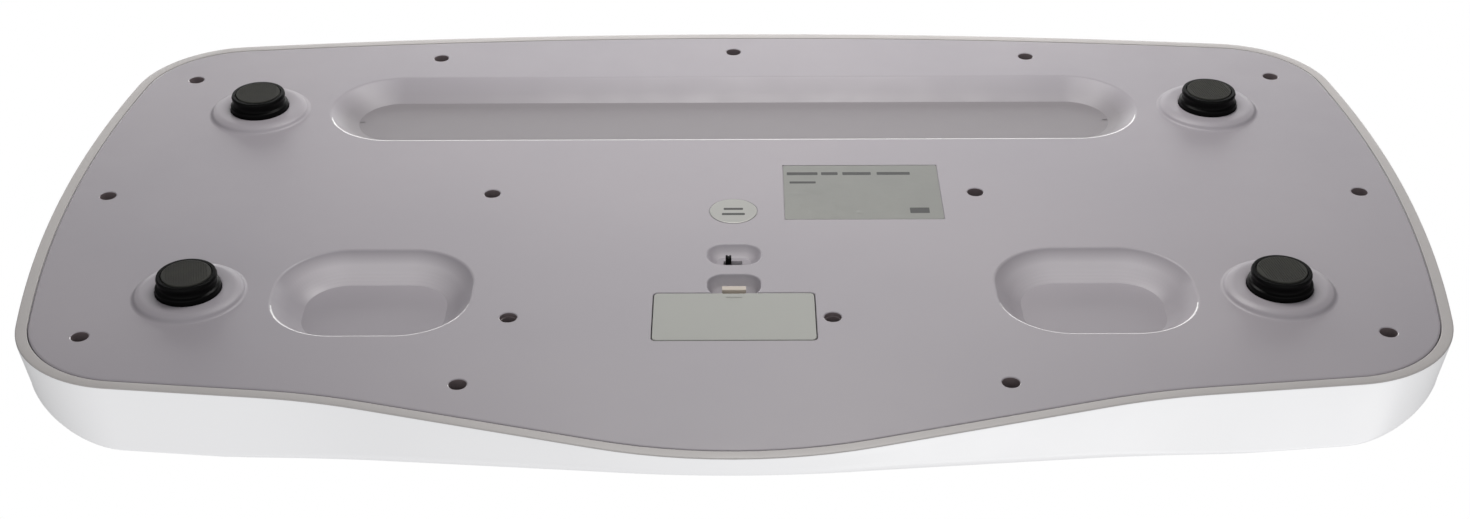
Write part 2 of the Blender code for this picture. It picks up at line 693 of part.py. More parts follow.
def make_tray(finish):
    """White cradle tray with its screw bosses, display panel and open underside."""
    outline = body_outline()
    tray = tray_block(outline)
    hollow = tray_hollow(outline)
    bosses = [turned("boss", [(BOSS_RADIUS, POST_HEIGHT + GAP), (BOSS_RADIUS, TALLEST_WALL)],
                     steps=SMALL_STEPS, centre=at) for at in SCREW_PLACES]
    combine(hollow, [joined("bosses", bosses)], "DIFFERENCE", "MANIFOLD")
    deck_bosses = deck_pins("deck_bosses", PCB_POST_RADIUS, -DISPLAY_BOARD_DROP + GAP, CLEAR)
    combine(hollow, [deck_bosses], "DIFFERENCE", "MANIFOLD")
    combine(tray, [hollow], "DIFFERENCE", "MANIFOLD")
    combine(tray, panel_cuts(), "DIFFERENCE", "MANIFOLD")
    pilot = SCREW_SHANK_RADIUS + GAP
    bore = [(pilot, 0.0), (pilot, SCREW_SEAT + SCREW_LENGTH)]
    pilots = [turned("pilot", bore, steps=SMALL_STEPS, centre=at) for at in SCREW_PLACES]
    combine(tray, [joined("pilots", pilots)], "DIFFERENCE", "MANIFOLD")
    deck_pilots = deck_pins("deck_pilots", PCB_SCREW_SHANK_RADIUS + GAP, -PILOT_REACH, -PILOT_LAND)
    combine(tray, [deck_pilots], "DIFFERENCE", "MANIFOLD")
    tray.data.materials.append(finish)
    return tray


# ---- bottom cover --------------------------------------------------------------------------------
def recess_tool(name, outline, depth, slope):
    """Cutter of a recess with sloping sides."""
    rings = [
        ring_at(outline, -SHELL),
        ring_at(outline, 0.0),
        ring_at(inset(outline, RECESS_SLOPE_SHARE * slope), depth - RECESS_FOOT_RISE),
        ring_at(inset(outline, slope + RECESS_FOOT_RUN), depth),
    ]
    return loft(name, rings)


def recess_shell(name, outline, depth, slope, wall):
    """Solid around a recess, standing up inside the cover."""
    rings = [
        ring_at(inset(outline, -wall), ROOT),
        ring_at(inset(outline, RECESS_SLOPE_SHARE * slope - 0.8 * wall),
                depth - RECESS_FOOT_RISE + 0.7 * wall),
        ring_at(inset(outline, slope + RECESS_FOOT_RUN - 0.4 * wall), depth + wall),
    ]
    return loft(name, rings)


def recesses():
    """Outline, depth, slope and wall of every recess in the cover."""
    rear = rounded_rectangle(REAR_RECESS_LENGTH, REAR_RECESS_WIDTH, STADIUM * REAR_RECESS_WIDTH,
                             (0, REAR_RECESS_Y))
    grips = [rounded_rectangle(GRIP_LENGTH, GRIP_WIDTH, GRIP_CORNER, (side * GRIP_X, GRIP_Y))
             for side in (1, -1)]
    switch = rounded_rectangle(SWITCH_RECESS_LENGTH, SWITCH_RECESS_WIDTH,
                               SWITCH_CORNER_SHARE * SWITCH_RECESS_WIDTH, (0, SWITCH_Y))
    finger_y = DOOR_BACK_Y + FINGER_REACH / 2 - FINGER_OVERLAP
    finger = rounded_rectangle(FINGER_WIDTH, FINGER_REACH + 2 * FINGER_OVERLAP,
                               FINGER_CORNER_SHARE * FINGER_REACH, (0, finger_y))
    return [
        (rear, REAR_RECESS_DEPTH, REAR_RECESS_SLOPE, SHELL),
        (grips[0], GRIP_DEPTH, GRIP_SLOPE, SHELL),
        (grips[1], GRIP_DEPTH, GRIP_SLOPE, SHELL),
        (switch, SWITCH_RECESS_DEPTH, SWITCH_RECESS_SLOPE, SMALL_RECESS_WALL),
        (finger, FINGER_DEPTH, FINGER_SLOPE, SMALL_RECESS_WALL),
    ]


def collar(place_at):
    """Raised round collar under a foot, as a solid disc."""
    profile = [(COLLAR_RADIUS, ROOT)]
    for step in range(COLLAR_ROUND_STEPS + 1):
        angle = math.radians(90) * step / COLLAR_ROUND_STEPS
        radius = COLLAR_RADIUS - COLLAR_ROUND + COLLAR_ROUND * math.cos(angle)
        profile.append((radius, -COLLAR_HEIGHT * math.sin(angle)))
    profile.append((FOOT_HOLE_RADIUS + COLLAR_LAND, -COLLAR_HEIGHT))
    profile.append((FOOT_HOLE_RADIUS, -COLLAR_HEIGHT + FOOT_HOLE_CHAMFER))
    return turned("collar", profile, steps=20, centre=place_at)


def bay_solids():
    """Walls and roof of the battery bay."""
    width, depth = DOOR_WIDTH / 2 + BAY_WALL, DOOR_DEPTH / 2 + BAY_WALL
    return box("bay", (-width, DOOR_Y - depth, ROOT), (width, DOOR_Y + depth, BAY_DEPTH + BAY_ROOF))


def nest_ring():
    """Wall that holds the coin cell, with a finger notch and a gap for the side contact."""
    inner = CELL_BUTTON_RADIUS + GAP
    centre = (0.0, DOOR_Y)
    low = DOOR_THICKNESS + GAP
    wall = turned("nest", [(inner + NEST_WALL, low), (inner + NEST_WALL, BAY_DEPTH + 0.5 * BAY_ROOF)],
                  steps=24, centre=centre)
    bore = turned("bore", [(inner, low - MM), (inner, BAY_DEPTH)], steps=24, centre=centre)
    reach = inner + 2 * NEST_WALL
    notch = box("notch", (-reach, DOOR_Y - NEST_NOTCH, low - MM),
                (-inner / 2, DOOR_Y + NEST_NOTCH, BAY_DEPTH))
    half = CONTACT_WIDTH / 2 + GAP
    gap = box("gap", (inner / 2, DOOR_Y - half, low - MM), (reach, DOOR_Y + half, BAY_DEPTH))
    return combine(wall, [bore, notch, gap], "DIFFERENCE")


def bay_cuts():
    """Door opening, hook pockets, catch pocket and contact slots."""
    mouth = rounded_rectangle(DOOR_WIDTH, DOOR_DEPTH, DOOR_CORNER, (0, DOOR_Y))
    cuts = [slab("opening", mouth, -MM, BAY_DEPTH)]
    half = HOOK_WIDTH / 2 + HOOK_POCKET_PLAY
    for side in (1, -1):
        middle = side * HOOK_X
        cuts.append(box("hook_pocket", (middle - half, DOOR_FRONT_Y - BAY_WALL - MM, SHELL),
                        (middle + half, DOOR_FRONT_Y + MM, BAY_DEPTH)))
    half = CATCH_WIDTH / 2 + CATCH_PLAY
    reach = DOOR_BACK_Y + CATCH_GAP + CATCH_PAD + CATCH_ROOM
    cuts.append(box("catch_pocket", (-half, DOOR_BACK_Y - MM, -MM), (half, reach, FINGER_DEPTH)))
    return cuts


def contact_slots():
    """Slots in the bay's roof for the tails of the two contacts."""
    slots = []
    for low, high in (negative_tail_span(), positive_tail_span()):
        half = CONTACT_WIDTH / 2 + GAP
        slots.append(box("slot", (low - GAP, DOOR_Y - half, BAY_DEPTH - MM),
                         (high + GAP, DOOR_Y + half, BAY_DEPTH + BAY_ROOF + MM)))
    return slots


def negative_tail_span():
    """X extent of the end contact's tail."""
    return NEGATIVE_TAIL, NEGATIVE_TAIL + CONTACT_THICKNESS


def positive_tail_span():
    """X extent of the side contact."""
    return CELL_BUTTON_RADIUS + GAP, CELL_BUTTON_RADIUS + GAP + CONTACT_THICKNESS


def posts():
    """Posts that stand on the cover: for the case screws, the main board and the load cells."""
    made = [turned("post", [(POST_RADIUS, ROOT), (POST_RADIUS, POST_HEIGHT)], steps=SMALL_STEPS, centre=at)
            for at in SCREW_PLACES]
    board_post = [(PCB_POST_RADIUS, ROOT), (PCB_POST_RADIUS, MAIN_BOARD_HEIGHT - GAP)]
    made += [turned("board_post", board_post, steps=10, centre=at) for at in MAIN_BOARD_POSTS]
    cell_post = [(CELL_POST_RADIUS, ROOT), (CELL_POST_RADIUS, CELL_HEIGHT - GAP)]
    reach = CELL_LENGTH / 2 + CELL_POST_OUT
    made += [turned("cell_post", cell_post, steps=SMALL_STEPS, centre=(x + side * reach, y))
             for x, y in FOOT_PLACES.values() for side in (1, -1)]
    return made


def make_cover(finish):
    """Grey bottom cover with its recesses, collars, posts, battery bay and switch slot."""
    edge = inset(body_outline(), RIM_WIDTH + GAP)
    cover = slab("bottom_cover", edge, 0.0, SHELL)
    shells = [recess_shell("shell", *sizes) for sizes in recesses()]
    combine(cover, shells, "UNION", "MANIFOLD")
    combine(cover, [collar(at) for at in FOOT_PLACES.values()], "UNION")
    combine(cover, [bay_solids()], "UNION")
    combine(cover, posts(), "UNION")
    tools = [recess_tool("recess", *sizes[:3]) for sizes in recesses()[:4]]
    combine(cover, [joined("recess_cuts", tools)], "DIFFERENCE")
    combine(cover, [recess_tool("finger", *recesses()[4][:3])], "DIFFERENCE")
    combine(cover, bay_cuts(), "DIFFERENCE")
    combine(cover, [nest_ring()], "UNION")
    combine(cover, contact_slots(), "DIFFERENCE")
    combine(cover, [joined("foot_cuts", foot_cuts()), joined("screw_cuts", screw_cuts())], "DIFFERENCE")
    combine(cover, [joined("label_cuts", label_cuts())], "DIFFERENCE")
    slot_low, slot_high = switch_slot_span()
    half = SWITCH_LEVER_DEPTH / 2 + SWITCH_SLOT_PLAY
    slot = box("switch_slot", (slot_low, SWITCH_Y - half, 0.0),
               (slot_high, SWITCH_Y + half, SWITCH_RECESS_DEPTH + 2 * SMALL_RECESS_WALL))
    combine(cover, [slot], "DIFFERENCE")
    cover.data.materials.append(finish)
    return cover


def foot_cuts():
    """Foot holes through the collars, wider inside for the foot's flange."""
    floor = SHELL - COLLAR_HEIGHT
    wide = FOOT_FLANGE_RADIUS + FOOT_FLANGE_PLAY
    return [turned("foot_cut", [(FOOT_HOLE_RADIUS, -CLEAR), (FOOT_HOLE_RADIUS, floor), (wide, floor),
                                (wide, 2 * SHELL)], steps=20, centre=at) for at in FOOT_PLACES.values()]


def screw_cuts():
    """Counterbores and clearance holes of the case screws, and pilots for the board screws."""
    through = SCREW_SHANK_RADIUS + GAP
    cuts = [turned("screw_cut", [(SCREW_HOLE_RADIUS, -SHELL), (SCREW_HOLE_RADIUS, SCREW_SEAT),
                                 (through, SCREW_SEAT), (through, POST_HEIGHT + MM)], steps=10, centre=at)
            for at in SCREW_PLACES]
    pilot = PCB_SCREW_SHANK_RADIUS + GAP
    cuts += [turned("pilot", [(pilot, MAIN_BOARD_HEIGHT - PCB_PILOT_DEPTH), (pilot, MAIN_BOARD_HEIGHT + MM)],
                    steps=SMALL_STEPS, centre=at) for at in MAIN_BOARD_POSTS]
    return cuts


def label_cuts():
    """Shallow seats of the rating label and the quality sticker."""
    x, y = LABEL_CENTRE
    width, depth = LABEL_WIDTH / 2 + GAP, LABEL_DEPTH / 2 + GAP
    seat = box("label_seat", (x - width, y - depth, -MM), (x + width, y + depth, LABEL_CUT_DEPTH))
    disc = turned("sticker_seat", [(STICKER_RADIUS + GAP, -MM), (STICKER_RADIUS + GAP, GAP)],
                  steps=24, centre=STICKER_CENTRE)
    return [seat, disc]


# ---- door and coin cell --------------------------------------------------------------------------
def extruded(name, profile, low, high, finish=None):
    """Piece whose (Y, Z) profile runs along X from low to high."""
    rings = [[(x, y, z) for y, z in profile] for x in (low, high)]
    return loft(name, rings, finish)


def bent_strip(name, profile, finish):
    """Strip whose (X, Z) profile is as wide as a contact, centred on the bay."""
    half = CONTACT_WIDTH / 2
    rings = [[(x, y, z) for x, z in profile] for y in (DOOR_Y - half, DOOR_Y + half)]
    return loft(name, rings, finish)


def door_hooks():
    """Hooks that reach under the cover at the door's front edge."""
    low = SHELL + GAP
    high = low + HOOK_THICKNESS
    front, root, web = DOOR_FRONT_Y - HOOK_REACH, DOOR_FRONT_Y + HOOK_ROOT, DOOR_FRONT_Y + HOOK_THICKNESS
    start = DOOR_THICKNESS - 0.8 * MM
    hook = [(web, start), (root, start), (root, high), (front, high), (front, low), (web, low)]
    return [extruded("hook", hook, side * HOOK_X - HOOK_WIDTH / 2, side * HOOK_X + HOOK_WIDTH / 2)
            for side in (1, -1)]


def door_catch():
    """U-shaped sprung catch with its thumb pad."""
    edge = DOOR_BACK_Y - DOOR_PLAY
    wall, top = CATCH_THICKNESS, CATCH_DEPTH
    inner = edge + CATCH_GAP + CATCH_LEG_OUT
    pad = inner + CATCH_PAD
    spring = [(edge - wall, CATCH_ROOT), (edge, CATCH_ROOT), (edge, top - wall), (inner, top - wall),
              (inner, CATCH_SUNK), (pad, CATCH_SUNK), (pad, CATCH_SUNK + wall),
              (inner + wall, CATCH_SUNK + wall), (inner + wall, top), (edge - wall, top)]
    return extruded("catch", spring, -CATCH_WIDTH / 2, CATCH_WIDTH / 2)


def make_door(finish):
    """Battery door with two hooks at its front edge and a sprung catch at its back edge."""
    plate = rounded_rectangle(DOOR_WIDTH - 2 * DOOR_PLAY, DOOR_DEPTH - 2 * DOOR_PLAY, DOOR_CORNER,
                              (0, DOOR_Y))
    door = slab("battery_door", plate, 0.0, DOOR_THICKNESS)
    combine(door, door_hooks(), "UNION")
    combine(door, [door_catch()], "UNION")
    door.data.materials.append(finish)
    return about(door, (0.0, DOOR_FRONT_Y, 0.0))


def make_battery(finishes):
    """Coin cell and the two contacts that press on it."""
    low = DOOR_THICKNESS + COIN_SEAT
    high = low + CELL_BUTTON_HEIGHT
    radius, step = CELL_BUTTON_RADIUS, high - COIN_STEP_RISE
    profile = [(radius - COIN_CHAMFER, low), (radius, low + COIN_CHAMFER), (radius, step),
               (radius - COIN_STEP_IN, step), (radius - COIN_STEP_IN, high)]
    cell = turned("coin_cell", profile, finishes["cell"], steps=24, centre=(0.0, DOOR_Y))
    spring = high + GAP
    tail_top = MAIN_BOARD_HEIGHT - GAP
    left, right = negative_tail_span()
    negative = [(-right, spring), (right, spring), (right, tail_top), (left, tail_top),
                (left, spring + CONTACT_THICKNESS), (-right, spring + CONTACT_THICKNESS)]
    left, right = positive_tail_span()
    foot = low + GAP
    positive = [(left, foot), (right, foot), (right, tail_top), (left, tail_top)]
    return [
        cell,
        bent_strip("battery_contact_negative", negative, finishes["steel"]),
        bent_strip("battery_contact_positive", positive, finishes["steel"]),
    ]


# ---- feet and load cells -------------------------------------------------------------------------
def make_foot(name, at, finish):
    """Black foot: a flange held inside the cover, a band at the collar and a pocket for its pad."""
    sole = -COVER_Z + PAD_PROUD
    pocket = -COVER_Z + PAD_THICKNESS + GAP
    band = -COLLAR_HEIGHT - FOOT_BAND_HEIGHT
    hole = FOOT_HOLE_RADIUS - FOOT_PLAY
    flange = SHELL - COLLAR_HEIGHT + GAP
    flange_top = flange + FOOT_FLANGE_HEIGHT
    profile = [
        (PAD_RADIUS + GAP, pocket), (PAD_RADIUS + GAP, sole), (FOOT_RADIUS - FOOT_SOLE_CHAMFER, sole),
        (FOOT_RADIUS - 0.3 * MM, sole + 0.35 * MM), (FOOT_RADIUS, sole + FOOT_SOLE_CHAMFER),
        (FOOT_RADIUS - FOOT_PLAY, band), (hole, band + FOOT_SHOULDER), (hole, flange),
        (FOOT_FLANGE_RADIUS, flange), (FOOT_FLANGE_RADIUS, flange_top),
        (FOOT_STEM_RADIUS, flange_top), (FOOT_STEM_RADIUS, CELL_HEIGHT - GAP),
    ]
    foot = turned(name, profile, finish)
    foot.location = (at[0], at[1], 0.0)
    return foot


def make_pad(name, finish):
    """Anti-slip disc in a foot's pocket."""
    low = -COVER_Z
    profile = [(PAD_RADIUS - PAD_CHAMFER, low), (PAD_RADIUS, low + PAD_CHAMFER),
               (PAD_RADIUS, low + PAD_THICKNESS)]
    return turned(name, profile, finish)


def make_load_cell(name, at, finish):
    """Stamped steel plate whose middle tongue bends under the foot's stem."""
    outline = rounded_rectangle(CELL_LENGTH + 2 * CELL_EAR, CELL_WIDTH, CELL_CORNER)
    plate = slab(name, outline, CELL_HEIGHT, CELL_HEIGHT + CELL_THICKNESS)
    reach, side = CELL_SLIT_SHARE * CELL_LENGTH, CELL_SLIT_SHARE * CELL_WIDTH
    slit = CELL_SLIT
    path = [(-reach, -side), (reach, -side), (reach, slit - side), (slit - reach, slit - side),
            (slit - reach, side - slit), (reach, side - slit), (reach, side), (-reach, side)]
    combine(plate, [slab("slit", path, 0.0, 3 * CELL_HEIGHT)], "DIFFERENCE")
    plate.data.materials.append(finish)
    plate.location = (at[0], at[1], 0.0)
    return plate


# ---- fasteners -----------------------------------------------------------------------------------
def screw_mesh(head_radius, head_height, shank_radius, length, steps):
    """Screw pointing up: its head's seat is at z = 0."""
    profile = [
        (0.8 * head_radius, -head_height), (head_radius, -0.6 * head_height), (head_radius, 0.0),
        (shank_radius, 0.0), (shank_radius, 0.85 * length), (0.4 * shank_radius, length),
    ]
    shape = turned("screw_shape", profile, steps=steps)
    mesh = shape.data
    bpy.data.objects.remove(shape)
    return mesh


def make_screws(base, deck, finish):
    """Case screws and board screws, each its own object on a shared mesh."""
    case_mesh = screw_mesh(SCREW_HEAD_RADIUS, SCREW_HEAD_HEIGHT, SCREW_SHANK_RADIUS, SCREW_LENGTH,
                           SMALL_STEPS)
    board_mesh = screw_mesh(PCB_SCREW_HEAD_RADIUS, PCB_SCREW_HEAD_HEIGHT, PCB_SCREW_SHANK_RADIUS,
                            PCB_SCREW_LENGTH, 10)
    for mesh in (case_mesh, board_mesh):
        mesh.materials.append(finish)
        mesh.shade_smooth()
        mesh.set_sharp_from_angle(angle=math.radians(35))
    for index, (x, y) in enumerate(SCREW_PLACES, 1):
        screw = bpy.data.objects.new(f"case_screw_{index:02d}", case_mesh)
        bpy.context.scene.collection.objects.link(screw)
        place(screw, (x, y, SCREW_SEAT - GAP), base, smooth=False)
    for index, (x, y) in enumerate(MAIN_BOARD_POSTS, 1):
        screw = bpy.data.objects.new(f"main_board_screw_{index}", board_mesh)
        bpy.context.scene.collection.objects.link(screw)
        place(screw, (x, y, MAIN_BOARD_HEIGHT + BOARD + GAP), base, smooth=False)
        screw.rotation_euler = (math.pi, 0.0, 0.0)
    for index, side in enumerate((1, -1), 1):
        screw = bpy.data.objects.new(f"display_board_screw_{index}", board_mesh)
        bpy.context.scene.collection.objects.link(screw)
        low = -DISPLAY_BOARD_DROP - BOARD - GAP
        place(screw, (side * DECK_SCREW_X, BUTTON_UP, low), deck, smooth=False)


# ---- boards, display, buttons and switch ---------------------------------------------------------
def make_main_board(finishes):
    """Main board with its screw holes, and the controller chip on it."""
    outline = rounded_rectangle(MAIN_BOARD_WIDTH, MAIN_BOARD_LENGTH, BOARD_CORNER, (0, MAIN_BOARD_Y))
    board = slab("main_board", outline, MAIN_BOARD_HEIGHT, MAIN_BOARD_HEIGHT + BOARD)
    hole = PCB_SCREW_SHANK_RADIUS + GAP
    holes = [turned("hole", [(hole, 0.0), (hole, 3 * MAIN_BOARD_HEIGHT)], steps=10, centre=at)
             for at in MAIN_BOARD_POSTS]
    combine(board, [joined("holes", holes)], "DIFFERENCE")
    board.data.materials.append(finishes["board"])
    low = MAIN_BOARD_HEIGHT + BOARD + GAP
    centre = (CHIP_PLACE[0], MAIN_BOARD_Y + CHIP_PLACE[1])
    chip = slab("controller_chip", rounded_rectangle(CHIP_SIZE[0], CHIP_SIZE[1], CHIP_CORNER, centre),
                low, low + CHIP_SIZE[2], finishes["chip"])
    return [board, chip]


def switch_slot_span():
    """X extent of the slot that the switch's lever moves in."""
    reach = SWITCH_LEVER_WIDTH / 2 + SWITCH_LEVER_PLAY
    return SWITCH_LEVER_REST_X - SWITCH_TRAVEL - reach, SWITCH_LEVER_REST_X + reach


def make_switch(finishes):
    """Three-position unit switch: its body under the main board, and its lever in the recess."""
    top = MAIN_BOARD_HEIGHT - GAP
    low = top - SWITCH_BODY[2]
    slot_low, slot_high = switch_slot_span()
    middle = (slot_low + slot_high) / 2
    half_x, half_y = SWITCH_BODY[0] / 2, SWITCH_BODY[1] / 2
    body = box("slide_switch_body", (middle - half_x, SWITCH_Y - half_y, low),
               (middle + half_x, SWITCH_Y + half_y, top))
    overhang, root_half, root_height = SWITCH_ROOT
    reach = root_half + SWITCH_SLOT_PLAY
    cavity = box("cavity", (slot_low - overhang, SWITCH_Y - reach, low - MM),
                 (slot_high + overhang, SWITCH_Y + reach, low + SWITCH_WELL_DEPTH))
    combine(body, [cavity], "DIFFERENCE")
    body.data.materials.append(finishes["steel"])
    half = SWITCH_LEVER_WIDTH / 2
    tip = SWITCH_RECESS_DEPTH - SWITCH_LEVER_DROP
    root_low = low + SWITCH_ROOT_LIFT
    lever = box("slide_switch_lever", (-half, -SWITCH_LEVER_DEPTH / 2, tip),
                (half, SWITCH_LEVER_DEPTH / 2, root_low + root_height / 2))
    block = box("root", (-half - overhang, -root_half, root_low),
                (half + overhang, root_half, root_low + root_height))
    combine(lever, [block], "UNION")
    lever.data.materials.append(finishes["black"])
    lever.location = (SWITCH_LEVER_REST_X, SWITCH_Y, 0.0)
    return [body, lever]


def make_display(finishes):
    """Display stack in the panel's own frame: window, frame, glass, contact strip and board."""
    pane = rounded_rectangle(WINDOW[0], WINDOW[1], WINDOW_CORNER)
    window = slab("display_window", pane, -WINDOW_SUNK - WINDOW[2], -WINDOW_SUNK, finishes["window"])
    upper, lower = -SHELL - GAP, -DISPLAY_BOARD_DROP + GAP
    border = 2 * (LCD_FRAME_WALL + GAP)
    frame = slab("lcd_frame", rounded_rectangle(LCD[0] + border, LCD[1] + border, LCD_FRAME_CORNER),
                 lower, upper)
    inside = rounded_rectangle(LCD[0] + 2 * GAP, LCD[1] + 2 * GAP, LCD_WELL_CORNER)
    combine(frame, [slab("well", inside, lower - MM, upper + MM)], "DIFFERENCE")
    frame.data.materials.append(finishes["white"])
    glass_low = upper - GAP - LCD[2]
    glass = slab("lcd_glass", rounded_rectangle(LCD[0], LCD[1], LCD_CORNER), glass_low, upper - GAP,
                 finishes["glass"])
    back, front = (LCD[1] / 2 - inwards for inwards in CONNECTOR_EDGES)
    strip = box("lcd_connector", (-CONNECTOR_SHARE * LCD[0], back, lower),
                (CONNECTOR_SHARE * LCD[0], front, glass_low - GAP), finishes["lead"])
    arm_low, arm_high = BUTTON_UP - DISPLAY_BOARD_ARM[1] / 2, BUTTON_UP + DISPLAY_BOARD_ARM[1] / 2
    x0, x1 = DISPLAY_BOARD_CENTRE[0] / 2, DISPLAY_BOARD_ARM[0] / 2
    y0 = -DISPLAY_BOARD_CENTRE[1] / 2
    outline = [(-x0, y0), (x0, y0), (x0, arm_low), (x1, arm_low), (x1, arm_high), (-x1, arm_high),
               (-x1, arm_low), (-x0, arm_low)]
    board = slab("display_board", outline, -DISPLAY_BOARD_DROP - BOARD, -DISPLAY_BOARD_DROP)
    hole = PCB_SCREW_SHANK_RADIUS + GAP
    holes = [slab("hole", circle(hole, 10, (side * DECK_SCREW_X, BUTTON_UP)), -2 * DISPLAY_BOARD_DROP, 0.0)
             for side in (1, -1)]
    combine(board, [joined("holes", holes)], "DIFFERENCE")
    board.data.materials.append(finishes["board"])
    return [window, frame, glass, strip, board]


def make_buttons(finishes):
    """Two panel buttons with the tact switches that they press."""
    pieces = []
    flange = -SHELL - BUTTON_FLANGE_DROP
    flange_low = flange - BUTTON_FLANGE_HEIGHT
    body_top = -DISPLAY_BOARD_DROP + GAP + TACT_HEIGHT
    stem = body_top + BUTTON_STEM_LIFT
    cap, top = BUTTON_RADIUS, BUTTON_PROUD
    profile = [(BUTTON_STEM_RADIUS, stem), (BUTTON_STEM_RADIUS, flange_low),
               (cap + BUTTON_FLANGE, flange_low), (cap + BUTTON_FLANGE, flange), (cap, flange),
               (cap, top - 0.7 * MM),
               (cap - 0.25 * MM, top - 0.2 * MM), (cap - 0.9 * MM, top)]
    for side, label in ((1, "left"), (-1, "right")):
        at = (side * BUTTON_X, BUTTON_UP, 0.0)
        button = turned(f"button_{label}", profile, finishes["button"])
        half = TACT_SIZE / 2
        body = box(f"tact_switch_{label}", (-half, -half, body_top - TACT_HEIGHT), (half, half, body_top))
        bore, depth = TACT_WELL
        well = turned("well", [(bore, body_top - depth), (bore, body_top + MM)], steps=12)
        combine(body, [well], "DIFFERENCE")
        body.data.materials.append(finishes["chip"])
        pin = [(TACT_PLUNGER_RADIUS, body_top - TACT_PLUNGER_ROOT), (TACT_PLUNGER_RADIUS, stem - GAP)]
        plunger = turned(f"tact_plunger_{label}", pin, finishes["black"], steps=12)
        for piece in (button, body, plunger):
            piece.location = at
        pieces += [button, body, plunger]
    return pieces


# ---- leads ---------------------------------------------------------------------------------------
def smooth_path(points, count):
    """Evenly shared points on a smooth curve through the route's own points."""
    route = np.array(points, dtype=float)
    padded = np.vstack([2 * route[0] - route[1], route, 2 * route[-1] - route[-2]])
    spans = len(route) - 1
    result = []
    for value in np.linspace(0, spans, count):
        span = min(int(value), spans - 1)
        t = value - span
        a, b, c, d = padded[span:span + 4]
        result.append(0.5 * (2 * b + (c - a) * t + (2 * a - 5 * b + 4 * c - d) * t ** 2
                             + (3 * b - a - 3 * c + d) * t ** 3))
    return result


def make_lead(name, route, finish):
    """Round lead along a smooth route."""
    curve = bpy.data.curves.new(name, "CURVE")
    curve.dimensions = "3D"
    curve.bevel_depth = LEAD_RADIUS
    curve.bevel_resolution = 2
    curve.use_fill_caps = True
    points = smooth_path(route, 14)
    spline = curve.splines.new("POLY")
    spline.points.add(len(points) - 1)
    for point, co in zip(spline.points, points):
        point.co = (*co, 1.0)
    curve.materials.append(finish)
    made = bpy.data.objects.new(name, curve)
    bpy.context.scene.collection.objects.link(made)
    return made


def lead_routes():
    """Route of each load cell's lead to the edge of the main board."""
    start_z = CELL_HEIGHT + CELL_THICKNESS / 2
    board_x, board_z = MAIN_BOARD_WIDTH / 2 + GAP, MAIN_BOARD_HEIGHT + BOARD / 2
    board_back = MAIN_BOARD_Y + MAIN_BOARD_LENGTH / 2
    clear = CELL_WIDTH / 2 + GAP + LEAD_RADIUS
    low = LEAD_HEIGHT
    routes = {}
    for name, (x, y) in FOOT_PLACES.items():
        side = 1 if x > 0 else -1
        if name.startswith("front"):
            level = -8.0 * MM
            end_y = board_back - 16 * MM
            points = [(x - 9 * MM * side, y + clear, start_z),
                      (x - 10 * MM * side, y + clear + 10 * MM, low + MM),
                      (x - 20 * MM * side, level - 12 * MM, low)]
        else:
            level = 3.0 * MM
            end_y = board_back - 5 * MM
            points = [(x - 11 * MM * side, y - clear, start_z),
                      (x - 12 * MM * side, y - clear - 16 * MM, low + MM),
                      (x - 22 * MM * side, level + 18 * MM, low)]
        points += [
            (side * 0.70 * FOOT_X, level, low),
            (side * 0.48 * FOOT_X, level - 2 * MM, low),
            (side * (board_x + 26 * MM), end_y + 9 * MM, low + 1.5 * MM),
            (side * (board_x + 7 * MM), end_y + 1 * MM, board_z - 0.6 * MM),
            (side * (board_x + 0.3 * MM), end_y, board_z),
        ]
        routes[name] = points
    return routes


def make_ribbon(finish):
    """Flat ribbon from the main board's front edge to the display board's back edge."""
    board_edge = BUTTON_UP + DISPLAY_BOARD_ARM[1] / 2
    board_middle = -DISPLAY_BOARD_DROP - BOARD / 2
    back = deck_frame() @ Vector((0.0, board_edge + GAP, board_middle))
    ahead = deck_frame() @ Vector((0.0, board_edge + 5 * MM, board_middle))
    start_y = MAIN_BOARD_Y - MAIN_BOARD_LENGTH / 2 - GAP
    start_z = MAIN_BOARD_HEIGHT + BOARD / 2
    sag = (0.0, (start_y + ahead.y) / 2 - 2 * MM, ahead.z - 2 * MM)
    route = [(0.0, start_y, start_z), (0.0, start_y - 7 * MM, start_z), sag, tuple(ahead), tuple(back)]
    path = smooth_path(route, 15)
    half, thick = RIBBON_WIDTH / 2, RIBBON_THICKNESS / 2
    rings = []
    for index, point in enumerate(path):
        before, after = path[max(index - 1, 0)], path[min(index + 1, len(path) - 1)]
        along = Vector(after - before).normalized()
        up = Vector((0.0, -along.z, along.y)) * thick
        y, z = point[1], point[2]
        rings.append([(-half, y - up.y, z - up.z), (half, y - up.y, z - up.z),
                      (half, y + up.y, z + up.z), (-half, y + up.y, z + up.z)])
    return loft("display_ribbon", rings, finish)


# ---- label and sticker ---------------------------------------------------------------------------
def make_labels(finishes):
    """Silver rating label and round sticker in their shallow seats."""
    label = slab("rating_label", rounded_rectangle(LABEL_WIDTH, LABEL_DEPTH, LABEL_CORNER, LABEL_CENTRE),
                 LABEL_SUNK, LABEL_SUNK + LABEL_THICKNESS, finishes["label"])
    sticker = turned("quality_sticker", [(STICKER_RADIUS, -STICKER_THICKNESS), (STICKER_RADIUS, 0.0)],
                     finishes["sticker"], steps=28, centre=STICKER_CENTRE)
    return [label, sticker]


# ---- the whole scale -----------------------------------------------------------------------------
def clear_scene():
    """Remove whatever the scene holds."""
    for existing in list(bpy.data.objects):
        bpy.data.objects.remove(existing)


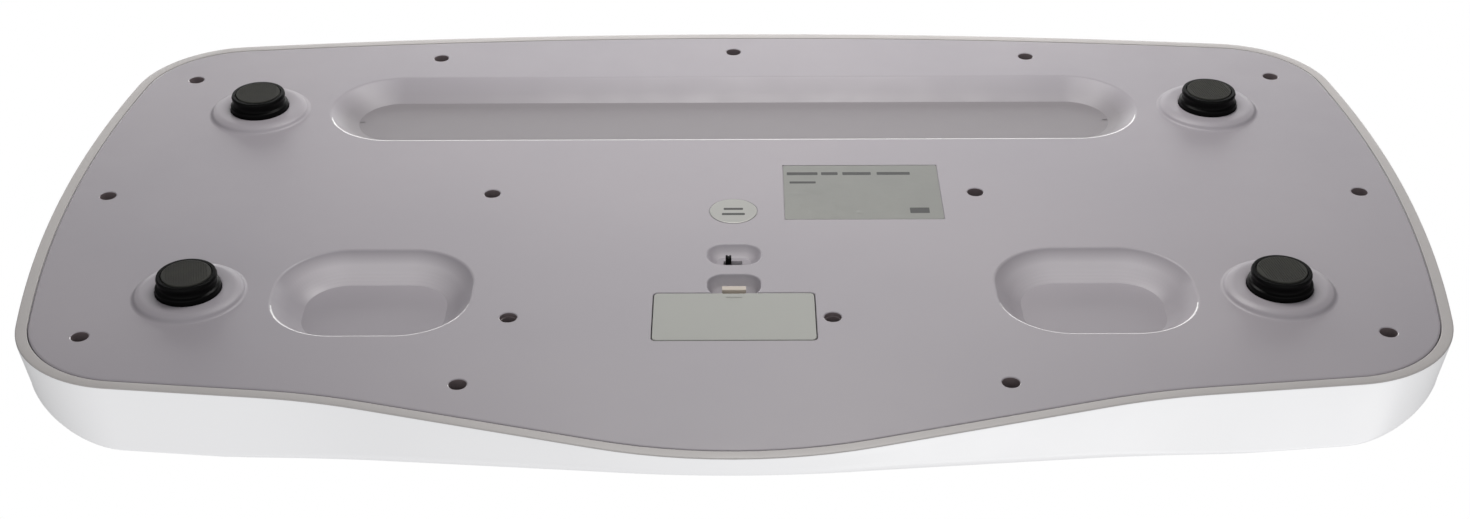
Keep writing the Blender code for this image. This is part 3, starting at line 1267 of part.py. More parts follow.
def main():
    """Build every piece and stand it in its place."""
    clear_scene()
    finishes = make_materials()
    base = empty("cover_face", (0.0, 0.0, COVER_Z))
    deck_place = deck_frame().to_translation()
    deck = empty("display_deck", deck_place, math.radians(FACET_SLOPE), base)
    place(make_tray(finishes["white"]), parent=base)
    place(make_cover(finishes["grey"]), parent=base)
    door = make_door(finishes["door"])
    place(door, door.location.copy(), base)
    for piece in make_battery(finishes):
        place(piece, parent=base)
    for name, at in FOOT_PLACES.items():
        foot = make_foot(f"foot_{name}", at, finishes["black"])
        place(foot, foot.location.copy(), base)
        pad = make_pad(f"foot_pad_{name}", finishes["pad"])
        place(pad, foot.location.copy(), base)
        cell = make_load_cell(f"load_cell_{name}", at, finishes["steel"])
        place(cell, cell.location.copy(), base)
    for piece in make_main_board(finishes) + make_switch(finishes) + make_labels(finishes):
        place(piece, piece.location.copy(), base)
    for piece in make_display(finishes) + make_buttons(finishes):
        place(piece, piece.location.copy(), deck)
    for name, route in lead_routes().items():
        place(make_lead(f"load_cell_lead_{name}", route, finishes["lead"]), parent=base, smooth=False)
    place(make_ribbon(finishes["ribbon"]), parent=base)
    make_screws(base, deck, finishes["steel"])


main()
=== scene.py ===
"""Looks of an electronic baby scale: a white cradle tray over a lilac-grey cover on four black feet.

Metres, +Z up, feet on z = 0, display at the front (-Y). Heights named "deep" are measured upwards
from the cover's flat outer face.
"""
import json
import logging
import math
from dataclasses import dataclass, field
from enum import Enum

import bmesh
import bpy
from mathutils import Matrix, Vector


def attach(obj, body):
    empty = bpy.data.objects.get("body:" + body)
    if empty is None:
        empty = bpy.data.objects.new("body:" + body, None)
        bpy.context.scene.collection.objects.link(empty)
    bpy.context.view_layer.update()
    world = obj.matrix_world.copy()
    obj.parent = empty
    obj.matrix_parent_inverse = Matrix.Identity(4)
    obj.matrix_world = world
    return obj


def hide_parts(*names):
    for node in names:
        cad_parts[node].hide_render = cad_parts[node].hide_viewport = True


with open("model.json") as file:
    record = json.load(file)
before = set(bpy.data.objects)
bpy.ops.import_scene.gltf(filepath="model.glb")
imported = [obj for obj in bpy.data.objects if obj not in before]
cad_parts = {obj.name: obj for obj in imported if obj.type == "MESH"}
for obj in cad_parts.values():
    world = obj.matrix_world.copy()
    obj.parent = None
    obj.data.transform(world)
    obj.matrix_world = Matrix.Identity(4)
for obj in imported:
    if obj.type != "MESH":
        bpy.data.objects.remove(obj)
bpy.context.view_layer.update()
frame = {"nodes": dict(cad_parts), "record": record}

MM = 0.001
GAP = 0.3 * MM
LOG = logging.getLogger("baby_scale")

Pair = tuple[float, float]
Outline = list[Pair]
Colour = tuple[float, float, float]


class Body(Enum):
    """Bodies of the frame that pieces ride on."""

    CASING = "casing"
    DOOR = "battery_door"
    SWITCH = "unit_switch"
    BUTTON_LEFT = "button_left"
    BUTTON_RIGHT = "button_right"


class Slot(Enum):
    """Material slots of the record."""

    WHITE = "white_plastic"
    GREY = "grey_plastic"
    DOOR = "door_plastic"
    BLACK = "black_plastic"
    PAD = "grip_pad"
    STEEL = "plated_steel"
    CELL = "cell_steel"
    BOARD = "green_board"
    CHIP = "chip_resin"
    GLASS = "display_glass"
    WINDOW = "clear_window"
    BUTTON = "button_plastic"
    LABEL = "silver_label"
    STICKER = "silver_sticker"
    LEAD = "lead_sheath"
    RIBBON = "ribbon_sheath"


class Cut(Enum):
    """What a Boolean does with its tools."""

    ADD = "UNION"
    TAKE = "DIFFERENCE"


@dataclass(frozen=True)
class Sizes:
    """Driving dimensions of the scale, the same ones that its solids are built from."""

    half_width: float = 280.0 * MM
    back_y: float = 168.5 * MM
    chin_y: float = -168.5 * MM
    cover_z: float = 9.3 * MM
    shell: float = 2.5 * MM
    rim_width: float = 4.5 * MM
    front_wall: float = 30.7 * MM
    end_wall: float = 44.9 * MM
    back_wall: float = 38.0 * MM
    draft: float = 2.6 * MM
    flank_round: float = 1.5 * MM
    end_round: float = 13.6 * MM
    lip_width: float = 9.0 * MM
    panel_slope: float = 27.5
    panel_top_y: float = (-168.5 + 43.3) * MM
    dish_front_y: float = (-168.5 + 52.0) * MM
    dish_floor: float = 18.0 * MM
    dish_centre_y: float = 18.0 * MM
    deck_y: float = (-168.5 + 21.5) * MM
    collar_height: float = 2.4 * MM
    collar_radius: float = 21.6 * MM
    foot_hole: float = 12.9 * MM
    foot_x: float = 210.8 * MM
    front_foot_y: float = -60.6 * MM
    back_foot_y: float = 91.0 * MM
    screw_hole: float = 3.35 * MM
    screw_seat: float = 6.6 * MM
    post_radius: float = 5.0 * MM
    post_height: float = 8.4 * MM
    door_width: float = 62.6 * MM
    door_depth: float = 33.4 * MM
    door_y: float = -78.0 * MM
    door_thickness: float = 2.0 * MM
    bay_depth: float = 6.6 * MM
    bay_wall: float = 1.6 * MM
    cell_radius: float = 10.0 * MM
    catch_width: float = 9.3 * MM
    catch_thickness: float = 1.1 * MM
    catch_gap: float = 1.8 * MM
    catch_pad: float = 2.9 * MM
    catch_depth: float = 4.4 * MM
    switch_y: float = -33.0 * MM
    window: tuple[float, float, float] = (66.0 * MM, 27.0 * MM, 1.2 * MM)
    lcd: tuple[float, float, float] = (60.0 * MM, 22.0 * MM, 2.6 * MM)
    button_x: float = 60.0 * MM
    button_up: float = 6.0 * MM
    button_radius: float = 6.5 * MM

    @property
    def door_front_y(self) -> float:
        """Front edge of the battery opening."""
        return self.door_y - self.door_depth / 2

    @property
    def door_back_y(self) -> float:
        """Back edge of the battery opening."""
        return self.door_y + self.door_depth / 2

    @property
    def feet(self) -> dict[str, Pair]:
        """Middle of each foot, by name."""
        return {
            "front_left": (self.foot_x, self.front_foot_y),
            "front_right": (-self.foot_x, self.front_foot_y),
            "rear_left": (self.foot_x, self.back_foot_y),
            "rear_right": (-self.foot_x, self.back_foot_y),
        }

    @property
    def screws(self) -> list[Pair]:
        """Middle of each case screw, in the order of their names."""
        spots = [(0.0, 149.1), (136.0, 143.5), (-136.0, 143.5), (245.6, 122.0), (-245.6, 122.0),
                 (260.5, 15.7), (-260.5, 15.7), (245.6, -90.5), (-245.6, -90.5), (100.6, 16.4),
                 (-100.6, 16.4), (100.4, -122.7), (-100.4, -122.7), (85.8, -78.3), (-37.5, -78.7)]
        return [(x * MM, y * MM) for x, y in spots]


SIZE = Sizes()


# ---- outlines ------------------------------------------------------------------------------------
@dataclass(frozen=True)
class Detail:
    """How finely curves are divided: the angle of a step and the longest straight run."""

    angle: float
    run: float


FINE = Detail(math.radians(4.0), 9.0 * MM)
SMALL = Detail(math.radians(9.0), 14.0 * MM)


def smoothstep(value: float) -> float:
    """Soft ramp.

    Args:
        value: any number.

    Returns:
        0 below 0, 1 above 1, and a smooth S between.
    """
    value = min(1.0, max(0.0, value))
    return value * value * (3 - 2 * value)


def round_corners(corners: Outline, radii: list[float | None], detail: Detail) -> Outline:
    """Closed outline with round corners.

    Args:
        corners: sharp corners, anticlockwise.
        radii: a radius for each corner, or None for the largest that fits.
        detail: how finely the arcs are divided.

    Returns:
        The rounded outline.
    """
    count = len(corners)
    points = [Vector(corner) for corner in corners]
    turns, reaches = [], []
    for index, corner in enumerate(points):
        arriving = (corner - points[index - 1]).normalized()
        leaving = (points[(index + 1) % count] - corner).normalized()
        turn = math.atan2(arriving.cross(leaving), arriving.dot(leaving))
        turns.append(turn)
        radius = radii[index]
        reaches.append(None if radius is None else radius * math.tan(abs(turn) / 2))
    for index, reach in enumerate(reaches):
        if reach is None:
            after = (index + 1) % count
            before_room = (points[index] - points[index - 1]).length - reaches[index - 1]
            after_room = (points[after] - points[index]).length - reaches[after]
            reaches[index] = 0.98 * min(before_room, after_room)
    outline: Outline = []
    for index, corner in enumerate(points):
        arriving = (corner - points[index - 1]).normalized()
        turn, reach = turns[index], reaches[index]
        radius = reach / math.tan(abs(turn) / 2)
        side = Vector((-arriving.y, arriving.x)) * (1 if turn > 0 else -1)
        start = corner - arriving * reach
        centre = start + side * radius
        steps = 2 * math.ceil(max(abs(turn) / detail.angle, abs(turn) * radius / detail.run) / 2)
        for step in range(steps + 1):
            spoke = Matrix.Rotation(turn * step / steps, 2) @ (start - centre)
            outline.append(tuple(centre + spoke))
    return spaced(outline, detail.run)


def spaced(outline: Outline, run: float) -> Outline:
    """Outline with its long runs divided.

    Args:
        outline: closed outline.
        run: longest straight run wanted.

    Returns:
        The outline without repeated points and with long runs divided evenly.
    """
    result: Outline = []
    for index, point in enumerate(outline):
        following = outline[(index + 1) % len(outline)]
        length = math.dist(point, following)
        if length < 0.02 * MM:
            continue
        parts = max(1, math.ceil(length / run))
        for part in range(parts):
            share = part / parts
            result.append((point[0] + (following[0] - point[0]) * share,
                           point[1] + (following[1] - point[1]) * share))
    return result


def inset(outline: Outline, distance: float | list[float]) -> Outline:
    """Outline moved inwards along its own normals.

    Args:
        outline: anticlockwise outline.
        distance: one distance, or one for each point.

    Returns:
        The moved outline.
    """
    count = len(outline)
    distances = distance if isinstance(distance, list) else [distance] * count
    moved: Outline = []
    for index, point in enumerate(outline):
        before, after = outline[index - 1], outline[(index + 1) % count]
        along = Vector((after[0] - before[0], after[1] - before[1])).normalized()
        moved.append((point[0] - along.y * distances[index], point[1] + along.x * distances[index]))
    return moved


def rounded_rectangle(width: float, depth: float, radius: float, centre: Pair = (0.0, 0.0),
                      detail: Detail = SMALL) -> Outline:
    """Rectangle with equal round corners.

    Args:
        width: size along X.
        depth: size along Y.
        radius: of each corner.
        centre: middle of the rectangle.
        detail: how finely it is divided.

    Returns:
        The anticlockwise outline.
    """
    x, y = width / 2, depth / 2
    outline = round_corners([(-x, -y), (x, -y), (x, y), (-x, y)], [radius] * 4, detail)
    return [(point[0] + centre[0], point[1] + centre[1]) for point in outline]


def circle(radius: float, steps: int, centre: Pair = (0.0, 0.0)) -> Outline:
    """Anticlockwise circle.

    Args:
        radius: of the circle.
        steps: number of points.
        centre: its middle.

    Returns:
        The points.
    """
    turn = 2 * math.pi / steps
    return [(centre[0] + radius * math.cos(turn * step), centre[1] + radius * math.sin(turn * step))
            for step in range(steps)]


def body_outline(detail: Detail = FINE) -> Outline:
    """Outline of the whole scale at the cover's face.

    Args:
        detail: how finely it is divided.

    Returns:
        The anticlockwise outline, a hair inside the true size.
    """
    half, back, chin = SIZE.half_width, SIZE.back_y, SIZE.chin_y
    side_x, rear_x, front_x = half + 8.1 * MM, half - 14.6 * MM, half - 14.2 * MM
    rear_y, front_y, root_y = back - 15.8 * MM, chin + 48.1 * MM, chin + 35.8 * MM
    root_x, side_y = 153.2 * MM, 15.0 * MM
    corners = [(0.0, chin - 7.1 * MM), (root_x, root_y), (front_x, front_y), (side_x, side_y),
               (rear_x, rear_y), (0.0, back + 11.7 * MM), (-rear_x, rear_y), (-side_x, side_y),
               (-front_x, front_y), (-root_x, root_y)]
    front, rear, root, tip = 50.0 * MM, 48.0 * MM, 240.0 * MM, 185.0 * MM
    radii = [tip, root, front, None, rear, None, rear, None, front, root]
    return inset(round_corners(corners, radii, detail), 0.08 * MM)


def soft_profile(corners: Outline, radii: list[float], steps: int = 6) -> Outline:
    """Open line with soft corners.

    Args:
        corners: points of the line, the two ends included.
        radii: how far each inner corner's bend reaches along the line.
        steps: points in each bend.

    Returns:
        The line with each inner corner bent smoothly.
    """
    points = [Vector(corner) for corner in corners]
    result: Outline = [tuple(points[0])]
    for index, reach in enumerate(radii, 1):
        corner = points[index]
        start = corner + (points[index - 1] - corner).normalized() * reach
        end = corner + (points[index + 1] - corner).normalized() * reach
        for step in range(steps + 1):
            share = step / steps
            bend = start * (1 - share) ** 2 + corner * 2 * share * (1 - share) + end * share ** 2
            result.append(tuple(bend))
    result.append(tuple(points[-1]))
    return result


# ---- solids --------------------------------------------------------------------------------------
def ring_at(outline: Outline, z: float) -> list[tuple[float, float, float]]:
    """Outline lifted to one height.

    Args:
        outline: flat outline.
        z: height.

    Returns:
        Points in space.
    """
    return [(x, y, z) for x, y in outline]


def make_object(name: str, verts: list, faces: list) -> bpy.types.Object:
    """Object from points and faces, its faces turned outwards.

    Args:
        name: of the object.
        verts: its points.
        faces: its faces, as point numbers.

    Returns:
        The new object, linked to the scene.
    """
    mesh = bpy.data.meshes.new(name)
    mesh.from_pydata(verts, [], faces)
    work = bmesh.new()
    work.from_mesh(mesh)
    bmesh.ops.recalc_face_normals(work, faces=work.faces)
    work.to_mesh(mesh)
    work.free()
    made = bpy.data.objects.new(name, mesh)
    bpy.context.scene.collection.objects.link(made)
    return made


def loft(name: str, rings: list, strips: bool = False) -> bpy.types.Object:
    """Closed solid skinned through rings of equal count.

    Args:
        name: of the object.
        rings: lists of points, one above the other.
        strips: whether the last cap is made of strips across, for a long flat floor.

    Returns:
        The solid, capped at both ends.
    """
    size = len(rings[0])
    verts = [point for ring in rings for point in ring]
    faces = []
    for level in range(len(rings) - 1):
        low, high = level * size, (level + 1) * size
        for index in range(size):
            after = (index + 1) % size
            faces.append((low + index, low + after, high + after, high + index))
    faces.append(tuple(reversed(range(size))))
    last = (len(rings) - 1) * size
    if strips:
        faces += [(last + index, last + index + 1, last + size - 2 - index, last + size - 1 - index)
                  for index in range(size // 2 - 1)]
    else:
        faces.append(tuple(range(last, last + size)))
    return make_object(name, verts, faces)


def turned(name: str, profile: Outline, steps: int = 48, centre: Pair = (0.0, 0.0)) -> bpy.types.Object:
    """Round solid from (radius, height) pairs.

    Args:
        name: of the object.
        profile: radius and height of each ring.
        steps: points around.
        centre: of the rings.

    Returns:
        The solid.
    """
    return loft(name, [ring_at(circle(max(radius, 0.01 * MM), steps, centre), z) for radius, z in profile])


def slab(name: str, outline: Outline, low: float, high: float) -> bpy.types.Object:
    """Flat solid between two heights.

    Args:
        name: of the object.
        outline: seen from above.
        low: lower face.
        high: upper face.

    Returns:
        The solid.
    """
    return loft(name, [ring_at(outline, low), ring_at(outline, high)])


def box(name: str, low: tuple, high: tuple) -> bpy.types.Object:
    """Box between two corners.

    Args:
        name: of the object.
        low: lowest corner.
        high: highest corner.

    Returns:
        The box.
    """
    outline = [(low[0], low[1]), (high[0], low[1]), (high[0], high[1]), (low[0], high[1])]
    return slab(name, outline, low[2], high[2])


def soft_slab(name: str, outline: Outline, low: float, high: float, edge: float) -> bpy.types.Object:
    """Flat solid whose edges are rounded above and below.

    Args:
        name: of the object.
        outline: seen from above.
        low: lower face.
        high: upper face.
        edge: radius of its edges.

    Returns:
        The solid.
    """
    rings = []
    for middle, sign in ((low + edge, -1), (high - edge, 1)):
        angles = range(0, 91, 30) if sign > 0 else range(90, -1, -30)
        for degrees in angles:
            angle = math.radians(degrees)
            rings.append(ring_at(inset(outline, edge * (1 - math.cos(angle))),
                                 middle + sign * edge * math.sin(angle)))
    return loft(name, rings)


def combine(target: bpy.types.Object, tools: list, cut: Cut, solver: str = "MANIFOLD") -> bpy.types.Object:
    """Boolean of a solid with each tool in turn.

    Args:
        target: the solid that is changed.
        tools: solids that are used up.
        cut: whether they are added or taken away.
        solver: Blender's name of the solver.

    Returns:
        The target.
    """
    for tool in tools:
        change = target.modifiers.new("change", "BOOLEAN")
        change.operation = cut.value
        change.solver = solver
        change.object = tool
        bpy.context.view_layer.update()
        graph = bpy.context.evaluated_depsgraph_get()
        result = bpy.data.meshes.new_from_object(target.evaluated_get(graph))
        target.modifiers.clear()
        old = target.data
        target.data = result
        result.materials.clear()
        bpy.data.meshes.remove(old)
        bpy.data.objects.remove(tool)
    return target


def joined(name: str, pieces: list) -> bpy.types.Object:
    """One object from several.

    Args:
        name: of the new object.
        pieces: objects that are used up.

    Returns:
        The object that holds them all.
    """
    work = bmesh.new()
    for piece in pieces:
        piece.data.transform(piece.matrix_basis)
        work.from_mesh(piece.data)
        bpy.data.objects.remove(piece)
    mesh = bpy.data.meshes.new(name)
    work.to_mesh(mesh)
    work.free()
    made = bpy.data.objects.new(name, mesh)
    bpy.context.scene.collection.objects.link(made)
    return made


def polish(piece: bpy.types.Object, degrees: float = 32.0, weighted: bool = True) -> bpy.types.Object:
    """Smooth shading that keeps flat faces flat and sharp edges sharp.

    Args:
        piece: the object.
        degrees: edges bent more than this stay sharp.
        weighted: whether large faces set the normals of their edges.

    Returns:
        The object.
    """
    work = bmesh.new()
    work.from_mesh(piece.data)
    broad = [face for face in work.faces if len(face.verts) > 4]
    bmesh.ops.triangulate(work, faces=broad, ngon_method="BEAUTY")
    work.to_mesh(piece.data)
    work.free()
    piece.data.shade_smooth()
    piece.data.set_sharp_from_angle(angle=math.radians(degrees))
    if weighted:
        change = piece.modifiers.new("flat faces", "WEIGHTED_NORMAL")
        change.mode = "FACE_AREA"
        change.weight = 100
        change.keep_sharp = True
    return piece


def moved(piece: bpy.types.Object, matrix: Matrix) -> bpy.types.Object:
    """Object with its shape moved by a matrix.

    Args:
        piece: the object.
        matrix: the move.

    Returns:
        The object.
    """
    piece.data.transform(matrix)
    return piece


def lifted(piece: bpy.types.Object) -> bpy.types.Object:
    """Object shaped from the cover's face, brought to its true height.

    Args:
        piece: the object.

    Returns:
        The object.
    """
    return moved(piece, Matrix.Translation((0.0, 0.0, SIZE.cover_z)))


# ---- heights of the tray -------------------------------------------------------------------------
def top_height(x: float, y: float) -> float:
    """Height of the tray's upper edge, level at the front and raised at the ends and the back.

    Args:
        x: along the length.
        y: from front to back.

    Returns:
        Height above the cover's face, with the display panel sloping down over the chin.
    """
    at_end = smoothstep((abs(x) - 0.50 * SIZE.half_width) / (0.48 * SIZE.half_width))
    backwards = smoothstep((y - 0.30 * SIZE.back_y) / (0.65 * SIZE.back_y))
    crown = at_end * smoothstep((y - SIZE.chin_y - 82.0 * MM) / (115.0 * MM))
    back = (SIZE.back_wall - SIZE.front_wall) * backwards * (1 - crown)
    rim = SIZE.front_wall + (SIZE.end_wall - SIZE.front_wall) * crown + back
    return rim - math.tan(math.radians(SIZE.panel_slope)) * max(0.0, SIZE.panel_top_y - y)


def deck_frame() -> Matrix:
    """Matrix of the display panel: origin on its face, +Z out of it, +Y up its slope."""
    place = Matrix.Translation((0.0, SIZE.deck_y, SIZE.cover_z + top_height(0.0, SIZE.deck_y)))
    return place @ Matrix.Rotation(math.radians(SIZE.panel_slope), 4, "X")


# ---- shader groups -------------------------------------------------------------------------------
class Effects:
    """Shader node groups that several finishes use, each built once."""

    def __init__(self) -> None:
        """Start with no groups."""
        self._groups: dict[str, bpy.types.NodeTree] = {}

    def group(self, name: str) -> bpy.types.NodeTree:
        """The named group, made on first use.

        Args:
            name: "grain", "mottle" or "depth".

        Returns:
            The node group.
        """
        if name not in self._groups:
            self._groups[name] = getattr(self, f"_make_{name}")()
        return self._groups[name]

    @staticmethod
    def _start(name: str, inputs: dict[str, float], outputs: list[str]) -> tuple:
        """New group with number sockets.

        Args:
            name: of the group.
            inputs: socket names with their usual values.
            outputs: socket names.

        Returns:
            The tree, its input node and its output node.
        """
        tree = bpy.data.node_groups.new(name, "ShaderNodeTree")
        for socket, value in inputs.items():
            made = tree.interface.new_socket(socket, in_out="INPUT", socket_type="NodeSocketFloat")
            made.default_value = value
        for socket in outputs:
            tree.interface.new_socket(socket, in_out="OUTPUT", socket_type="NodeSocketFloat")
        return tree, tree.nodes.new("NodeGroupInput"), tree.nodes.new("NodeGroupOutput")

    def _make_grain(self) -> bpy.types.NodeTree:
        """Fine spark-eroded grain of a moulding: its height."""
        tree, start, end = self._start("moulded_grain", {"Scale": 900.0, "Amount": 1.0}, ["Height"])
        place = tree.nodes.new("ShaderNodeTexCoord")
        fine = tree.nodes.new("ShaderNodeTexNoise")
        fine.inputs["Detail"].default_value = 3.0
        fine.inputs["Roughness"].default_value = 0.6
        scaled = tree.nodes.new("ShaderNodeMath")
        scaled.operation = "MULTIPLY"
        tree.links.new(place.outputs["Object"], fine.inputs["Vector"])
        tree.links.new(start.outputs["Scale"], fine.inputs["Scale"])
        tree.links.new(fine.outputs["Fac"], scaled.inputs[0])
        tree.links.new(start.outputs["Amount"], scaled.inputs[1])
        tree.links.new(scaled.outputs[0], end.inputs["Height"])
        return tree

    def _make_mottle(self) -> bpy.types.NodeTree:
        """Slow cloudy variation over a surface, from 0 to 1."""
        tree, start, end = self._start("mottle", {"Scale": 9.0, "Contrast": 1.0}, ["Mask"])
        place = tree.nodes.new("ShaderNodeTexCoord")
        cloud = tree.nodes.new("ShaderNodeTexNoise")
        cloud.inputs["Detail"].default_value = 2.0
        centred = tree.nodes.new("ShaderNodeMath")
        centred.operation = "SUBTRACT"
        centred.inputs[1].default_value = 0.5
        stretched = tree.nodes.new("ShaderNodeMath")
        stretched.operation = "MULTIPLY_ADD"
        stretched.inputs[2].default_value = 0.5
        stretched.use_clamp = True
        tree.links.new(place.outputs["Object"], cloud.inputs["Vector"])
        tree.links.new(start.outputs["Scale"], cloud.inputs["Scale"])
        tree.links.new(cloud.outputs["Fac"], centred.inputs[0])
        tree.links.new(centred.outputs[0], stretched.inputs[0])
        tree.links.new(start.outputs["Contrast"], stretched.inputs[1])
        tree.links.new(stretched.outputs[0], end.inputs["Mask"])
        return tree

    def _make_depth(self) -> bpy.types.NodeTree:
        """Mask that grows from 0 to 1 with height above the start, and a mask of the back half."""
        tree, start, end = self._start("depth", {"Start": 0.0, "Run": 1.0}, ["Mask", "Back"])
        back = tree.nodes.new("ShaderNodeMath")
        back.operation = "GREATER_THAN"
        back.inputs[1].default_value = 0.05
        place = tree.nodes.new("ShaderNodeTexCoord")
        split = tree.nodes.new("ShaderNodeSeparateXYZ")
        above = tree.nodes.new("ShaderNodeMath")
        above.operation = "SUBTRACT"
        share = tree.nodes.new("ShaderNodeMath")
        share.operation = "DIVIDE"
        share.use_clamp = True
        tree.links.new(place.outputs["Object"], split.inputs[0])
        tree.links.new(split.outputs["Z"], above.inputs[0])
        tree.links.new(split.outputs["Y"], back.inputs[0])
        tree.links.new(back.outputs[0], end.inputs["Back"])
        tree.links.new(start.outputs["Start"], above.inputs[1])
        tree.links.new(above.outputs[0], share.inputs[0])
        tree.links.new(start.outputs["Run"], share.inputs[1])
        tree.links.new(share.outputs[0], end.inputs["Mask"])
        return tree


EFFECTS = Effects()


class Shader:
    """A material being put together around one Principled shader."""

    def __init__(self, name: str) -> None:
        """Start an empty material.

        Args:
            name: of the material.
        """
        self.made = bpy.data.materials.new(name)
        self.made.use_nodes = True
        self.tree = self.made.node_tree
        self.surface = self.tree.nodes["Principled BSDF"]

    def value(self, **values: float) -> None:
        """Set plain numbers or colours on the shader.

        Args:
            values: socket names, with spaces written as underscores.
        """
        for name, value in values.items():
            self.surface.inputs[name.replace("_", " ")].default_value = value

    def effect(self, name: str, **values: float) -> bpy.types.Node:
        """Place a shared group.

        Args:
            name: of the group.
            values: its own values.

        Returns:
            The group's node.
        """
        node = self.tree.nodes.new("ShaderNodeGroup")
        node.node_tree = EFFECTS.group(name)
        for socket, value in values.items():
            node.inputs[socket].default_value = value
        return node

    def node(self, kind: str, **settings: object) -> bpy.types.Node:
        """Place a node.

        Args:
            kind: Blender's name of the node, without its prefix.
            settings: its properties.

        Returns:
            The node.
        """
        node = self.tree.nodes.new(f"ShaderNode{kind}")
        for name, value in settings.items():
            setattr(node, name, value)
        return node

    def link(self, start: bpy.types.NodeSocket, end: bpy.types.NodeSocket) -> None:
        """Join two sockets."""
        self.tree.links.new(start, end)

    def math(self, operation: str, *operands: object) -> bpy.types.NodeSocket:
        """Place a math node.

        Args:
            operation: Blender's name of the operation.
            operands: sockets or numbers.

        Returns:
            The result's socket.
        """
        node = self.node("Math", operation=operation)
        for index, operand in enumerate(operands):
            if isinstance(operand, bpy.types.NodeSocket):
                self.link(operand, node.inputs[index])
            else:
                node.inputs[index].default_value = operand
        return node.outputs[0]

    def blend(self, mask: bpy.types.NodeSocket, first: Colour, second: Colour) -> bpy.types.NodeSocket:
        """Colour between two by a mask.

        Args:
            mask: 0 for the first, 1 for the second.
            first: colour.
            second: colour.

        Returns:
            The colour's socket.
        """
        node = self.node("Mix", data_type="RGBA")
        node.inputs["A"].default_value = (*first, 1.0)
        node.inputs["B"].default_value = (*second, 1.0)
        self.link(mask, node.inputs["Factor"])
        return node.outputs["Result"]

    def over(self, mask: bpy.types.NodeSocket, base: bpy.types.NodeSocket, top: Colour) -> bpy.types.NodeSocket:
        """One colour laid over another by a mask.

        Args:
            mask: 1 where the top colour shows.
            base: colour underneath.
            top: colour on top.

        Returns:
            The colour's socket.
        """
        node = self.node("Mix", data_type="RGBA")
        node.inputs["B"].default_value = (*top, 1.0)
        self.link(mask, node.inputs["Factor"])
        self.link(base, node.inputs["A"])
        return node.outputs["Result"]

    def span(self, mask: bpy.types.NodeSocket, low: float, high: float) -> bpy.types.NodeSocket:
        """Number between two by a mask.

        Args:
            mask: from 0 to 1.
            low: value at 0.
            high: value at 1.

        Returns:
            The number's socket.
        """
        return self.math("MULTIPLY_ADD", mask, high - low, low)

    def bump(self, height: bpy.types.NodeSocket, distance: float, strength: float = 1.0) -> None:
        """Raise the surface's normal by a height.

        Args:
            height: from 0 to 1.
            distance: metres for 1.
            strength: of the effect.
        """
        node = self.node("Bump")
        node.inputs["Distance"].default_value = distance
        node.inputs["Strength"].default_value = strength
        self.link(height, node.inputs["Height"])
        self.link(node.outputs["Normal"], self.surface.inputs["Normal"])


# ---- finishes ------------------------------------------------------------------------------------
@dataclass(frozen=True)
class Moulding:
    """Moulded plastic: slow tone changes, fine grain and satin roughness, and on request painted light on recess
    slopes facing the front and painted shade on deep recess floors at the back.
    """

    name: str
    colour: Colour
    shade: Colour
    roughness: Pair = (0.36, 0.46)
    grain: float = 1400.0
    relief: float = 0.02 * MM
    mottle: float = 9.0
    shine: float = 0.5
    # Painted light on recess slopes facing the front, and painted shade on deep recess floors at the back.
    painted_light_tone: Colour | None = None
    painted_shade_tone: Colour = (0.0, 0.0, 0.0)

    def make(self) -> bpy.types.Material:
        """Build the material."""
        shader = Shader(self.name)
        cloud = shader.effect("mottle", Scale=self.mottle, Contrast=1.8).outputs["Mask"]
        colour = shader.blend(cloud, self.colour, self.shade)
        # Painted light and shade: a lighter tone on front-facing recess slopes in the front half, a darker tone on
        # deep flat floors in the back half.
        if self.painted_light_tone:
            depth = shader.effect("depth", Start=SIZE.cover_z + 0.5 * MM, Run=4.0 * MM)
            facing = shader.node("SeparateXYZ")
            shader.link(shader.node("NewGeometry").outputs["True Normal"], facing.inputs[0])
            slope = shader.math("MULTIPLY", shader.math("MAXIMUM", facing.outputs["Y"], -0.7), -1.43)
            slope = shader.math("MAXIMUM", slope, 0.0)
            ahead = shader.math("SUBTRACT", depth.outputs["Mask"], depth.outputs["Back"])
            painted_light_mask = shader.math("MULTIPLY", shader.math("MAXIMUM", ahead, 0.0), slope)
            colour = shader.over(painted_light_mask, colour, self.painted_light_tone)
            level = shader.math("SUBTRACT", 1.0, slope)
            behind = shader.math("MULTIPLY", depth.outputs["Mask"], depth.outputs["Back"])
            painted_shade_mask = shader.math("MULTIPLY", behind, level)
            colour = shader.over(painted_shade_mask, colour, self.painted_shade_tone)
        shader.link(colour, shader.surface.inputs["Base Color"])
        fine = shader.effect("mottle", Scale=60.0, Contrast=1.5).outputs["Mask"]
        shader.link(shader.span(fine, *self.roughness), shader.surface.inputs["Roughness"])
        grain = shader.effect("grain", Scale=self.grain, Amount=1.0).outputs["Height"]
        shader.bump(grain, self.relief, 0.5)
        shader.value(Specular_IOR_Level=self.shine)
        return shader.made


@dataclass(frozen=True)
class Plating:
    """Plated metal with a fine brushed or rolled grain."""

    name: str
    colour: Colour
    shade: Colour
    roughness: Pair = (0.22, 0.38)
    stretch: float = 12.0

    def make(self) -> bpy.types.Material:
        """Build the material."""
        shader = Shader(self.name)
        place = shader.node("TexCoord")
        squeeze = shader.node("Mapping")
        squeeze.inputs["Scale"].default_value = (1.0, self.stretch, 1.0)
        shader.link(place.outputs["Object"], squeeze.inputs["Vector"])
        grain = shader.node("TexNoise")
        grain.inputs["Scale"].default_value = 500.0
        grain.inputs["Detail"].default_value = 3.0
        shader.link(squeeze.outputs["Vector"], grain.inputs["Vector"])
        shader.link(shader.span(grain.outputs["Fac"], *self.roughness), shader.surface.inputs["Roughness"])
        cloud = shader.effect("mottle", Scale=120.0, Contrast=1.6).outputs["Mask"]
        shader.link(shader.blend(cloud, self.colour, self.shade), shader.surface.inputs["Base Color"])
        shader.bump(grain.outputs["Fac"], 0.01 * MM, 0.4)
        shader.value(Metallic=1.0)
        return shader.made


